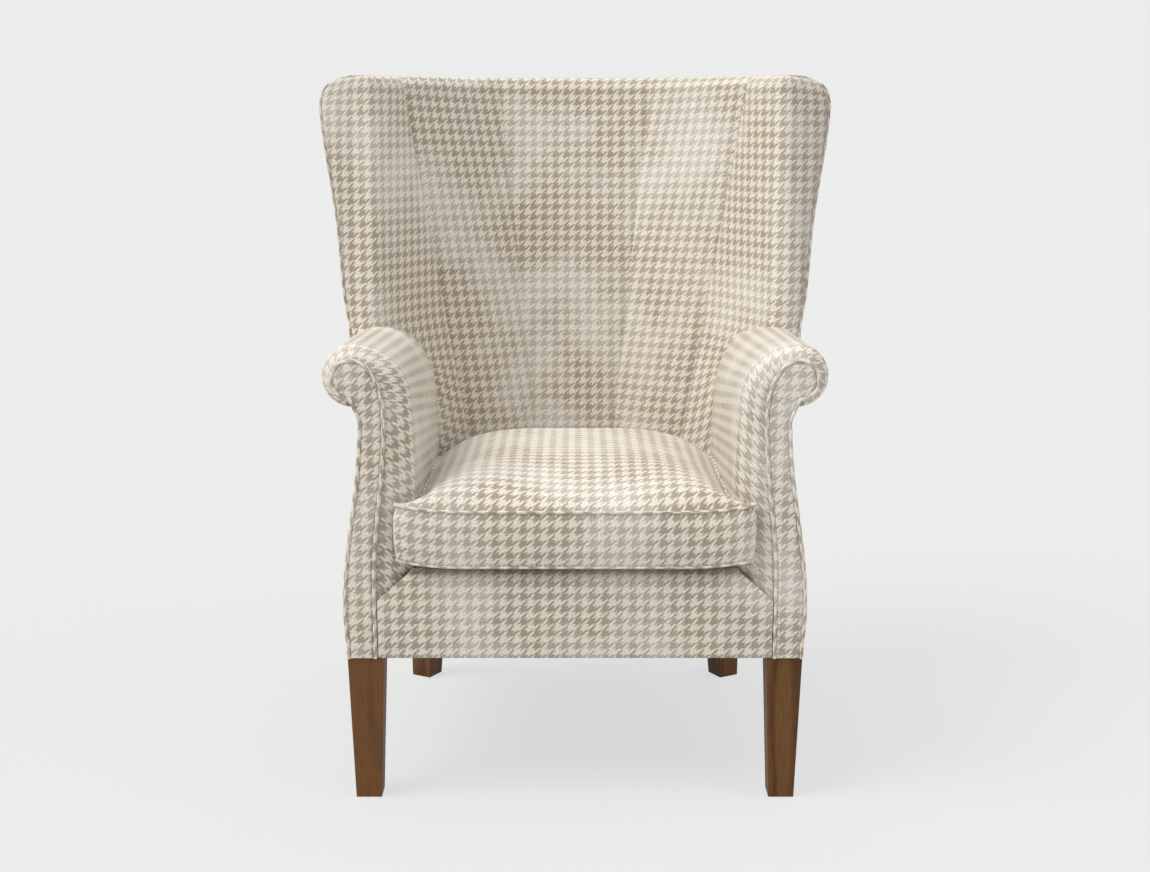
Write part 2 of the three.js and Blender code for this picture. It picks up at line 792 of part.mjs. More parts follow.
function rearRail(grow) {
  const outer = coverInset + rearRailSetIn;
  const rail = rearArc(outer, outer + railThickness, rearLegX, grow, railBottom, frameTop);
  return without(rail, [rearLeg(clearance), mirrored(rearLeg(clearance))]);
}

// Curved and upright frame pieces keep their distance from the outside back
const frameOuter = (a, z) => outerRadius(a, z) - coverInset - frameSetIn;
const frameInner = (a, z) => frameOuter(a, z) - postDepth;
const between = (low, high, count) => steps(low, high, count);

const backPost = (grow) => ringSector(
  between(frameTop + clearance - grow, crestBottom - clearance + grow, postRows),
  (z) => cornerAngle(z) - postOuterTurn - postTurn - grow / barrelRadiusAtArm,
  (z) => cornerAngle(z) - postOuterTurn + grow / barrelRadiusAtArm,
  (a, z) => frameInner(a, z) - grow,
  (a, z) => frameOuter(a, z) + grow,
  postSteps,
);

const wholeLowerRail = (grow) => ringSector(
  [lowerRailBottom - grow, lowerRailBottom + lowerRailHeight + grow],
  (z) => postOuterTurn + postTurn + clearance / barrelRadiusAtArm - cornerAngle(z),
  (z) => cornerAngle(z) - postOuterTurn - postTurn - clearance / barrelRadiusAtArm,
  (a, z) => frameInner(a, z) - grow,
  (a, z) => frameOuter(a, z) + grow,
);

const lowerBackRail = (grow) => {
  const posts = grow > 0 ? [] : [backPost(clearance)];
  return mainBody(without(wholeLowerRail(grow), [...posts, ...posts.map(mirrored)]));
};

const crestRail = (grow) => ringSector(
  [crestBottom - grow, crestBottom + crestHeight + grow],
  () => -crestTurn - asTurn(grow),
  () => crestTurn + asTurn(grow),
  (a, z) => barrelRadius(z) + padDepth + clearance + strapThickness - grow,
  (a, z) => barrelRadius(z) + padDepth + clearance + strapThickness + crestDepth + grow,
);

function armRail(grow) {
  const low = armRailBottom - grow;
  const high = armRailBottom + armRailHeight + grow;
  const front = frontLegY - boardThickness / 2;
  const path = [point(armPostX, front), point(rollCentreX, armRailBendY), point(armRailRearX, armRailRearY)];
  const half = armRailWidth / 2 + grow;
  const outer = path.map((p) => point(p.x + half, p.y));
  const inner = path.map((p) => point(p.x - half, p.y)).reverse();
  return prism([...outer, ...inner], low, high).subtract(backPost(grow > 0 ? 0 : clearance));
}

const armPost = (grow) => block(
  corner(armPostX - armPostWidth / 2, frontLegY - boardThickness / 2, frameTop + clearance),
  corner(armPostX + armPostWidth / 2, frontLegY + boardThickness / 2, armRailBottom - clearance),
  grow,
);

const wingPost = (grow) => ringSector(
  between(armRailBottom + armRailHeight + clearance - grow, crestBottom - clearance + grow, postRows),
  (z) => wingAngle(z) - wingPostSetBack - wingPostTurn - grow / barrelRadiusAtArm,
  (z) => wingAngle(z) - wingPostSetBack + grow / barrelRadiusAtArm,
  (a, z) => barrelRadius(z) + wingPostPadding - grow,
  (a, z) => barrelRadius(z) + wingThickness(z) - wingPostPadding + grow,
  postSteps,
);

const wholeStrap = (height, grow) => ringSector(
  [height - strapWidth / 2 - grow, height + strapWidth / 2 + grow],
  (z) => postOuterTurn - cornerAngle(z) - asTurn(grow),
  (z) => cornerAngle(z) - postOuterTurn + asTurn(grow),
  (a, z) => frameInner(a, z) - seamGap - strapThickness - grow,
  (a, z) => frameInner(a, z) - seamGap + grow,
);
const strap = (height, grow) => {
  const carriers = grow > 0 ? [] : [backPost(clearance), armRail(clearance)];
  return mainBody(without(wholeStrap(height, grow), [...carriers, ...carriers.map(mirrored)]));
};

// Corner blocks are glued and bolted across each corner of the seat frame
function cornerBlock(outline, bolt) {
  const neighbours = [frontRail, sideRail, rearRail, frontLeg, rearLeg, bolt];
  const cutters = neighbours.map((make) => make(clearance));
  const room = prism(inset(baseOutline(frameTop), coverInset + rearRailSetIn), railBottom, frameTop);
  const whole = prism(outline, railBottom + blockSetIn, frameTop - blockSetIn).intersect(room);
  return mainBody(without(whole, cutters));
}

function boltAlong(from, to, grow) {
  const axis = to.clone().sub(from);
  const length = axis.length();
  const radius = boltRadius + grow;
  const headRadius = boltHeadRadius + grow;
  const profile = [
    point(0, -boltHeadHeight - grow),
    point(headRadius, -boltHeadHeight - grow),
    point(headRadius, grow),
    point(radius, grow),
    point(radius, length + grow),
    point(0, length + grow),
  ];
  const geometry = new THREE.LatheGeometry(profile, boltSides);
  geometry.applyQuaternion(new THREE.Quaternion().setFromUnitVectors(corner(0, 1, 0), axis.normalize()));
  geometry.translate(...from.toArray());
  return fromGeometry(geometry);
}

const boltHeight = (railBottom + frameTop) / 2;
const frontBolt = (grow) => boltAlong(
  corner(frontLegX - boltReach, frontLegY + boltReach, boltHeight),
  corner(frontLegX, frontLegY, boltHeight),
  grow,
);
const rearBolt = (grow) => boltAlong(
  corner(rearLegX - boltReach, rearLegY - boltReach * rearBoltSlopeShare, boltHeight),
  corner(rearLegX, rearLegY, boltHeight),
  grow,
);

// Zigzag spring from the front rail over the deck to the rear rail
function zigzagSpring(x) {
  const rise = frameTop + clearance + springRadius;
  const front = railFront + springRadius * 2;
  const rear = baseRearY - x * x / (2 * baseRearRadius) - rearRailSetIn - railThickness / 2;
  const turns = Array.from({ length: springTurns + 1 }, (_, i) => {
    const side = i % 2 === 0 ? -1 : 1;
    return corner(x + side * springHalfWidth, lerp(front, rear, i / springTurns), rise);
  });
  const path = new THREE.CatmullRomCurve3(turns, false, 'catmullrom', springEase);
  return fromGeometry(tube(path, springRadius, springSides, springTurns * springStepsPerTurn));
}

function tube(path, radius, sides, count) {
  const section = new THREE.Shape(
    Array.from({ length: sides }, (_, i) => {
      const turn = (i / sides) * Math.PI * 2;
      return point(radius * Math.cos(turn), radius * Math.sin(turn));
    }),
  );
  return new THREE.ExtrudeGeometry(section, { steps: count, extrudePath: path, bevelEnabled: false });
}

// Outline of the seat space from above, kept clear of the arms and the inside back
function seatOutline(front, gap, z, cornerRadius) {
  const halfWidth = (y) => armInnerX(y) - gap;
  const reach = barrelRadius(z) - fluteCrown - gap;
  const meet = Math.asin(halfWidth(armInnerRearY) / reach);
  const rear = steps(meet, 0, seatArcSteps).map((a) => onBarrel(a, reach, z));
  const rounding = steps(-Math.PI / 2, 0, seatCornerSteps).map((turn) => point(
    halfWidth(front + cornerRadius) - cornerRadius * (1 - Math.cos(turn)),
    front + cornerRadius * seatCornerDepthShare * (1 + Math.sin(turn)),
  ));
  const side = steps(rounding[rounding.length - 1].y, rear[0].y, seatSideSteps).slice(1, -1)
    .map((y) => point(Math.min(halfWidth(y), reach), y));
  const half = [...rounding, ...side, ...rear.slice(0, -1)];
  const other = half.map((p) => point(-p.x, p.y)).reverse();
  return [...half, rear[rear.length - 1], ...other];
}

function deckPad() {
  const outline = seatOutline(edgeRollRear + seamGap, deckGap, backBottom, deckCornerRadius);
  return prism(outline, frameTop + springRadius * 2 + clearance * 2, deckHeight);
}

// Profile of the front edge, seen from the side: up the front, round and back over the rail
function edgeProfile(depth) {
  const lip = lipHeight - depth;
  const radius = lipRadius - depth;
  const centreY = borderFront + lipRadius;
  const centreZ = lipHeight - lipRadius;
  const round = bowed(centreY, centreZ, radius, radius, Math.PI, Math.PI / 2, lipSteps);
  return [point(borderFront + depth, hemHeight), ...round, point(edgeRollRear, lip)];
}

function alongX(profile, halfWidth) {
  const ring = (x) => profile.map((p) => corner(x, p.x, p.y));
  return loft([ring(-halfWidth), ring(halfWidth)]);
}

// The slanted ends of the front border open a dark gap beside the facings
function slantCutter(grow) {
  const outline = [
    corner(borderHalfWidth + overrun, 0, slantLowHeight - grow),
    corner(borderHalfWidth, 0, slantLowHeight - grow),
    corner(slantTopHalfWidth, 0, lipHeight + clearance - grow),
    corner(slantTopHalfWidth, 0, lipHeight + overrun),
    corner(borderHalfWidth + overrun, 0, lipHeight + overrun),
  ];
  const ring = (y) => outline.map((p) => corner(p.x, y, p.z));
  return loft([ring(-overrun), ring(edgeRollRear + overrun)]);
}

function frontBorder() {
  const profile = [...edgeProfile(0), ...edgeProfile(fabric).reverse()];
  const cutter = slantCutter(0);
  return without(alongX(profile, borderHalfWidth), [cutter, mirrored(cutter)]);
}

function frontEdgeRoll() {
  const top = edgeProfile(fabric + clearance).slice(1);
  const under = [
    point(edgeRollRear, frameTop + springRadius * 2 + clearance * 2),
    point(railFront, frameTop + springRadius * 2 + clearance * 2),
    point(railFront, frameTop + clearance),
    point(railFront - clearance, frameTop + clearance),
    point(railFront - clearance, railBottom),
    point(borderFront + fabric + clearance, railBottom),
  ];
  const cutter = slantCutter(fabric + clearance);
  const cutters = [cutter, rightArmGrown, frontLeg(clearance)];
  const roll = alongX([...top, ...under], borderHalfWidth - clearance);
  return mainBody(without(roll, [...cutters, ...cutters.map(mirrored)]));
}

function dustCover() {
  const outline = inset(baseOutline(hemHeight), coverInset + dustCoverSetIn);
  const plate = prism(outline, railBottom - clearance - dustCoverThickness, railBottom - clearance);
  const cutters = [frontLeg(clearance), rearLeg(clearance), rightArmGrown];
  return mainBody(without(plate, [...cutters, ...cutters.map(mirrored), frontEdgeRoll()]));
}

// Facing and its piping

function facing() {
  const outline = facingOutline();
  const ring = (y, depth) => uprightRing(inset(outline, depth), y);
  const panel = loft([
    ring(facingFront, facingEdge),
    ring(facingFront + facingEdge, 0),
    ring(facingFront + facingThickness, 0),
  ]);
  return mainBody(panel.subtract(facingPiping(clearance)));
}

function facingPiping(grow) {
  const outline = inset(facingOutline(), -(pipingRadius + clearance));
  const y = facingFront + facingThickness - pipingRadius;
  const route = outline.map((p) => corner(p.x, y, p.y));
  route[0].z = hemHeight;
  route[route.length - 1].z = hemHeight;
  const path = new THREE.CatmullRomCurve3(route, false, 'centripetal');
  return fromGeometry(tube(path, pipingRadius + grow, pipingSides, pipingSteps));
}

// Loose seat cushion, with drawn-in sides and a crown that is fullest towards the back

function cushionOutline(z, depth) {
  const outline = seatOutline(cushionFrontY, cushionSideGap, cushionBottom, cushionCornerRadius);
  return flatRing(inset(outline, depth), z);
}

function cushionVolume(depth) {
  const sides = cushionSideShares.map(([part, drawn]) => {
    const z = lerp(cushionBottom + depth, cushionSeamHeight, part);
    return cushionOutline(z, depth + cushionSag * drawn);
  });
  const rim = cushionOutline(cushionSeamHeight, depth + cushionSag);
  const crown = cushionCrownShares.map(([scale, rise]) => rim.map((p) => {
    const z = lerp(cushionSeamHeight, cushionCrownHeight - depth, rise);
    return corner(p.x * scale, lerp(crownCentreY, p.y, scale), z);
  }));
  return loft([...sides, ...crown]);
}

// Round cord sewn into a level seam, closed on itself
function seamCord(path, radius) {
  const count = path.length;
  const points = [];
  path.forEach((p, i) => {
    const along = path[(i + 1) % count].clone().sub(path[(i + count - 1) % count]).normalize();
    const outwards = corner(along.y, -along.x, 0);
    steps(0, Math.PI * 2, cordSides).slice(1).forEach((turn) => {
      const around = p.clone().addScaledVector(outwards, radius * Math.cos(turn));
      around.z += radius * Math.sin(turn);
      points.push(around);
    });
  });
  const triangles = [];
  for (let k = 0; k < count; k += 1) {
    for (let j = 0; j < cordSides; j += 1) {
      const a = k * cordSides + j;
      const b = k * cordSides + (j + 1) % cordSides;
      const c = ((k + 1) % count) * cordSides + j;
      const d = ((k + 1) % count) * cordSides + (j + 1) % cordSides;
      triangles.push([a, b, d], [a, d, c]);
    }
  }
  return solidFrom(points, triangles);
}

const topSeam = cushionOutline(cushionSeamHeight, cushionSag);

function cushionPieces() {
  const cloth = cushionVolume(0).subtract(cushionVolume(fabric));
  const cords = [seamCord(topSeam, cordRadius + clearance)];
  const half = armInnerHalfWidth + overrun;
  const slice = (low, high) => block(corner(-half, -half, low), corner(half, baseRearY, high));
  const zipZone = (grow) => block(
    corner(-zipHalfLength, zipFront, zipHeight - zipHalfWidth),
    corner(zipHalfLength, baseRearY, zipHeight + zipHalfWidth),
    grow,
  );
  const lowSeam = cushionBottom + cordRadius;
  const border = without(cloth.intersect(slice(lowSeam, cushionSeamHeight - clearance)), cords);
  return {
    core: without(cushionVolume(fabric + clearance), cords),
    top: without(cloth.intersect(slice(cushionSeamHeight, cushionCrownHeight + overrun)), cords),
    border: without(border, [zipZone(clearance)]),
    bottom: without(cloth.intersect(slice(0, lowSeam - clearance)), cords),
    zip: border.intersect(zipZone(0)),
  };
}

function zipSlider() {
  const reach = barrelRadius(cushionBottom) - fluteCrown - cushionSideGap + clearance;
  const side = (radius) => [-1, 1].map((way) => (
    onBarrel(zipClosedTurn + way * sliderHalfTurn, radius, cushionBottom)
  ));
  const outline = [...side(reach), ...side(reach + sliderThickness).reverse()];
  return prism(outline, zipHeight - sliderHalfHeight, zipHeight + sliderHalfHeight);
}

// Assembly

const chair = new THREE.Group();

function place(name, solid, material) {
  const mesh = new THREE.Mesh(toGeometry(solid), material());
  mesh.name = name;
  chair.add(mesh);
}

function placePair(name, solid, material) {
  place(`${name}_right`, solid, material);
  place(`${name}_left`, mirrored(solid), material);
}

const frontBlockOutline = [
  point(railEnd - blockReach, railRear + clearance),
  point(legOuterX, railRear + clearance),
  point(legOuterX, railRear + blockReach),
  point(railEnd, railRear + blockReach),
];
const rearBlockOutline = [
  point(rearLegX - blockReach * rearBlockShare, baseRearY),
  point(rearLegX - blockReach * rearBlockShare, rearLegY + blockHalf),
  point(rearLegX - blockHalf, rearLegY - blockReach * rearBlockShare),
  point(legOuterX, rearLegY - blockReach * rearBlockShare),
  point(legOuterX, baseRearY),
];

placePair('front_leg', without(frontLeg(0), [frontBolt(clearance)]), walnutStainedOak);
placePair('rear_leg', without(rearLeg(0), [rearBolt(clearance)]), walnutStainedOak);
place('front_rail', frontRail(0), plainBeech);
placePair('side_rail', sideRail(0), plainBeech);
place('rear_rail', without(rearRail(0), [rearBolt(clearance), mirrored(rearBolt(clearance))]), plainBeech);
placePair('front_corner_block', cornerBlock(frontBlockOutline, frontBolt), plainBeech);
placePair('rear_corner_block', cornerBlock(rearBlockOutline, rearBolt), plainBeech);
placePair('front_leg_bolt', frontBolt(0), brightSteel);
placePair('rear_leg_bolt', rearBolt(0), brightSteel);
placePair('arm_post', armPost(0), plainBeech);
placePair('arm_rail', armRail(0), plainBeech);
placePair('back_post', backPost(0), plainBeech);
placePair('wing_post', wingPost(0), plainBeech);
place('lower_back_rail', lowerBackRail(0), plainBeech);
place('crest_rail', crestRail(0), plainBeech);
strapHeights.forEach((height, i) => place(`back_strap_${i + 1}`, strap(height, 0), juteWeb));
springPlaces.forEach((x, i) => place(`seat_spring_${i + 1}`, zigzagSpring(x), brightSteel));

const rightArmGrown = armVolume(-seamGap, armRearY + seamGap);
const frameCutters = [
  frontLeg, rearLeg, sideRail, armPost, armRail, backPost, wingPost, crestRail, lowerBackRail,
].map((make) => make(clearance));
const strapCutters = strapHeights.map((height) => strap(height, clearance));
const allCutters = [...frameCutters, ...frameCutters.map(mirrored), ...strapCutters];
const paddingZone = ringSector(
  allLevels,
  () => -wingSweepAngle,
  wingEnd,
  deepInside,
  (a, z) => barrelRadius(z) + padDepth,
  sectorSteps * 2,
);
const aboveRails = block(
  corner(0, -overrun, frameTop + clearance * 2),
  corner(hipHalfWidth + overrun, baseRearY, chairHeight),
);

const betweenSeams = wedge(outerSeamAngle, 0);
const besideWings = wedge(outerSeamAngle, seamGap);
const backFill = backPadded.intersect(paddingZone).intersect(betweenSeams);
const wingFill = backPadded.intersect(rightHalf);
const armFill = rightArmPadded.intersect(aboveRails);

place('back_pad', mainBody(without(backFill, allCutters)), paleFoam);
placePair('wing_pad', mainBody(without(wingFill, [besideWings, ...allCutters])), paleFoam);
placePair('arm_pad', mainBody(without(armFill, [backGrown, ...frameCutters])), paleFoam);
place('deck_pad', deckPad(), paleFoam);
place('front_edge_roll', frontEdgeRoll(), paleFoam);
place('dust_cover', dustCover(), blackCloth);

const insideCloth = backCloth.intersect(insideCore);
const wingCloth = insideCloth.intersect(rightHalf);
const rearCloth = cloth.intersect(wedge(cornerAngle, 0));
const sideCloth = cloth.intersect(outsideSideZone);
const sideCutters = [beyondCore, wedge(cornerAngle, seamGap), armCutter, frontLeg(clearance)];
const armCloth = cloth.intersect(rightArm).intersect(armZone());

place('inside_back_cover', mainBody(insideCloth.intersect(betweenSeams)), houndstooth);
placePair('wing_cover', mainBody(without(wingCloth, [besideWings])), houndstooth);
place('outside_back_cover', mainBody(without(rearCloth, [beyondCore])), houndstooth);
placePair('outside_side_cover', mainBody(without(sideCloth, sideCutters)), houndstooth);
placePair('arm_cover', mainBody(without(armCloth, [backGrown])), houndstooth);
placePair('facing', facing(), houndstooth);
placePair('facing_piping', facingPiping(0), houndstooth);
place('front_border', frontBorder(), houndstooth);

const cushion = cushionPieces();
place('cushion_filling', cushion.core, paleFoam);
place('cushion_top_panel', mainBody(cushion.top), houndstooth);
place('cushion_border', mainBody(cushion.border), houndstooth);
place('cushion_bottom_panel', mainBody(cushion.bottom), houndstooth);
place('cushion_top_piping', seamCord(topSeam, cordRadius), houndstooth);
place('cushion_zip', mainBody(cushion.zip), blackCloth);
place('zip_slider', zipSlider(), brightSteel);

// The origin goes under the middle of the chair
const reach = new THREE.Box3().setFromObject(chair);
chair.position.y = -(reach.min.y + reach.max.y) / 2;

export default chair;
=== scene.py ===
import json
import math
import bmesh
import bpy
from mathutils import Matrix, Vector


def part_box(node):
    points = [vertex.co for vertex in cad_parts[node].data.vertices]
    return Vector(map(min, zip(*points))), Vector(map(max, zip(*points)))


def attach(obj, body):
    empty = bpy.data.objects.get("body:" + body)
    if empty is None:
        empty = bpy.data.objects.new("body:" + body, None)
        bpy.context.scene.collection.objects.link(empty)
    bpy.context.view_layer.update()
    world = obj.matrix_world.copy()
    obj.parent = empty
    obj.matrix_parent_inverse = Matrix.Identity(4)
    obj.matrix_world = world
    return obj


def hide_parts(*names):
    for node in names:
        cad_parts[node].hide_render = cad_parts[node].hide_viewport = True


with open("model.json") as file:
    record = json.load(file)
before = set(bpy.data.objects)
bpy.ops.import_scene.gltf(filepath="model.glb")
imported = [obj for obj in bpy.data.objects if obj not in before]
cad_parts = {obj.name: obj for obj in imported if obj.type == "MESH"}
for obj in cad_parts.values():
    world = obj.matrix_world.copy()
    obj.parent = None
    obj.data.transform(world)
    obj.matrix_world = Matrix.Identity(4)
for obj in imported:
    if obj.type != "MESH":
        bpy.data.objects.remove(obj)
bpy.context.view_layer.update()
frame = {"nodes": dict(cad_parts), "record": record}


# Legs: four square tapered oak legs under a walnut stain and satin lacquer, screwed up into
# the corners of the seat frame. The front pair stand square, the rear pair are turned and
# rake back. Each is a solid with slightly eased edges.
def material(name):
    """A new material, its node tree and its surface shader."""
    made = bpy.data.materials.new(name)
    made.use_nodes = True
    return made, made.node_tree, made.node_tree.nodes["Principled BSDF"]


def feed(tree, target, inputs):
    """Set a node's inputs to values, or join them to the outputs of earlier nodes."""
    for key, value in inputs.items():
        if isinstance(value, bpy.types.NodeSocket):
            tree.links.new(value, target.inputs[key])
        else:
            target.inputs[key].default_value = value


def node(tree, kind, inputs=None, **settings):
    made = tree.nodes.new(kind)
    for name, value in settings.items():
        setattr(made, name, value)
    feed(tree, made, inputs or {})
    return made


def object_place(tree):
    return node(tree, "ShaderNodeTexCoord").outputs["Object"]


def noise(tree, place, scale, detail, roughness=0.5):
    inputs = {"Vector": place, "Scale": scale, "Detail": detail, "Roughness": roughness}
    return node(tree, "ShaderNodeTexNoise", inputs).outputs["Fac"]


def maths(tree, operation, *values):
    inputs = dict(enumerate(values))
    return node(tree, "ShaderNodeMath", inputs, operation=operation).outputs[0]


def ramp(tree, share, *stops):
    """The colour at a share of the way through some stops, each a position and a colour."""
    made = node(tree, "ShaderNodeValToRGB", {"Fac": share})
    while len(made.color_ramp.elements) < len(stops):
        made.color_ramp.elements.new(0.5)
    for element, (position, colour) in zip(made.color_ramp.elements, stops):
        element.position = position
        element.color = (*colour, 1)
    return made.outputs["Color"]


def mixed(tree, first, second, share=1, blend="MIX"):
    inputs = {"Factor": share, "A": first, "B": second}
    made = node(tree, "ShaderNodeMix", inputs, data_type="RGBA", blend_type=blend)
    return made.outputs["Result"]


def bump(tree, height, strength, distance, **under):
    inputs = {"Height": height, "Strength": strength, "Distance": distance, **under}
    return node(tree, "ShaderNodeBump", inputs).outputs["Normal"]


white = (1, 1, 1)
ring_wander = 0.16
pore_shade = (0.7, 0.7, 0.7)


def grained(name, dark, light, roughness, ring_width):
    """Sawn wood: growth rings drawn out along its length, with fine pores in them."""
    made, tree, shader = material(name)
    place = object_place(tree)

    def drawn_out(share):
        inputs = {"Vector": place, "Scale": (1, 1, share)}
        return node(tree, "ShaderNodeMapping", inputs).outputs["Vector"]

    wander = noise(tree, drawn_out(0.09), scale=14, detail=2, roughness=0.45)
    pores = noise(tree, drawn_out(0.03), scale=900, detail=2)
    rings = maths(tree, "PINGPONG", maths(tree, "MULTIPLY", wander, ring_wander / ring_width), 1)
    ring_tone = ramp(tree, rings, (0, dark), (0.35, light), (1, light))
    pore_tone = ramp(tree, pores, (0.32, pore_shade), (0.5, white))
    feed(tree, shader, {
        "Base Color": mixed(tree, ring_tone, pore_tone, blend="MULTIPLY"),
        "Roughness": roughness,
        "Specular IOR Level": 0.22,
        "Normal": bump(tree, pores, strength=0.12, distance=0.0003),
    })
    return made


def piece(name, mesh, finish):
    made = bpy.data.objects.new(name, mesh)
    bpy.context.scene.collection.objects.link(made)
    made.data.materials.append(finish)
    return made


def mesh_of(bm, name):
    mesh = bpy.data.meshes.new(name)
    bm.to_mesh(mesh)
    bm.free()
    return mesh


both_sides = (("right", 1), ("left", -1))
stained_oak = grained(
    "walnut_stained_oak", dark=(0.085, 0.034, 0.01), light=(0.155, 0.068, 0.021),
    roughness=0.55, ring_width=0.02,
)
leg_top_size = 0.052
leg_foot_size = 0.0375
leg_block_size = 0.038
leg_shoulder = 0.2147
leg_ease = 0.0012
front_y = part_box("facing_right")[0][1]
# where the top and the foot of each right leg stand, and how far it is turned
leg_places = {
    "front_leg": ((0.303, 0.0285), (0.303, 0.0245), 0.0),
    "rear_leg": ((0.256, 0.539), (0.266, 0.556), math.radians(30)),
}


def leg_mesh(name, top, foot, turn, way, height):
    """A leg from its foot to the shoulder under the rail, with a block inside the frame."""
    bm = bmesh.new()
    rings = []
    sections = (
        (foot, leg_foot_size, 0),
        (top, leg_top_size, leg_shoulder),
        (top, leg_block_size, leg_shoulder),
        (top, leg_block_size, height),
    )
    for (x, y), size, z in sections:
        ring = []
        for dx, dy in ((-1, -1), (1, -1), (1, 1), (-1, 1)):
            offset = Vector((dx * size / 2, dy * size / 2))
            offset.rotate(Matrix.Rotation(turn * way, 2))
            ring.append(bm.verts.new((way * x + offset.x, front_y + y + offset.y, z)))
        rings.append(ring)
    bm.faces.new(list(reversed(rings[0])))
    bm.faces.new(rings[-1])
    for low, high in zip(rings, rings[1:]):
        for i in range(4):
            bm.faces.new((low[i], low[(i + 1) % 4], high[(i + 1) % 4], high[i]))
    bmesh.ops.bevel(
        bm, geom=bm.edges[:], offset=leg_ease, segments=3, profile=0.5, affect="EDGES",
    )
    bmesh.ops.recalc_face_normals(bm, faces=bm.faces)
    return mesh_of(bm, name)


for leg_name, (top, foot, turn) in leg_places.items():
    for side, way in both_sides:
        cad_name = f"{leg_name}_{side}"
        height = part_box(cad_name)[1][2]
        mesh = leg_mesh(cad_name, top, foot, turn, way, height)
        leg = piece(f"{cad_name}_wood", mesh, stained_oak)
        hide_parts(cad_name)
        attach(leg, "chair")


# Hidden frame: planed beech rails, posts and corner blocks, steel bolts and zigzag springs,
# and jute webbing across the back. They keep their CAD solids and sit inside the upholstery,
# so each needs only a plain finish of its own.
def plain(name, colour, roughness, vary, scale, metallic=0.0):
    """An even finish, clouded a little darker and lighter."""
    made, tree, shader = material(name)
    cloud = noise(tree, object_place(tree), scale=scale, detail=3)
    darker = [c * (1 - vary) for c in colour]
    lighter = [min(1, c * (1 + vary)) for c in colour]
    feed(tree, shader, {
        "Base Color": ramp(tree, cloud, (0.3, darker), (0.7, lighter)),
        "Roughness": roughness,
        "Metallic": metallic,
    })
    return made


frame_finishes = {
    "plain_beech": grained(
        "plain_beech", dark=(0.4, 0.25, 0.12), light=(0.58, 0.4, 0.22),
        roughness=0.65, ring_width=0.03,
    ),
    "bright_steel": plain(
        "bright_steel", (0.58, 0.58, 0.6), roughness=0.32, metallic=1.0, vary=0.06, scale=300,
    ),
    "jute_web": plain("jute_web", (0.33, 0.22, 0.1), roughness=0.9, vary=0.3, scale=700),
    "black_cloth": plain(
        "black_cloth", (0.02, 0.018, 0.016), roughness=0.95, vary=0.3, scale=900,
    ),
}
cad_slots = {part["node"]: part["material_slot"] for part in frame["record"]["subparts"]}
for cad_name, cad_slot in cad_slots.items():
    if cad_slot in frame_finishes:
        mesh = frame["nodes"][cad_name].data
        mesh.materials.clear()
        mesh.materials.append(frame_finishes[cad_slot])


# Houndstooth wool: a brushed woollen cloth in cream and taupe, woven four threads and four,
# used for every cover. The check follows the cloth coordinates of each panel, in metres, and
# its hue is mottled. Lighter patches laid over it are painted light, and it is a little
# darker over the outer upper parts of the wings, a painted shade.
check_width = 0.0196
check_height = 0.0184
band_edge = 0.45
ragged_edge = 0.5
cream = (0.82, 0.765, 0.665)
taupe = (0.4, 0.35, 0.285)
warm_wool = (1, 0.99, 0.95)
cool_wool = (0.985, 0.965, 0.975)
painted_light_tone = (0.93, 0.905, 0.87)
painted_light_share = 0.4
painted_shade_tone = (0.8, 0.795, 0.79)
painted_shade_across = (0.325, 0.37)
painted_shade_up = (0.62, 0.72)
fleck_shade = (0.58, 0.57, 0.55)


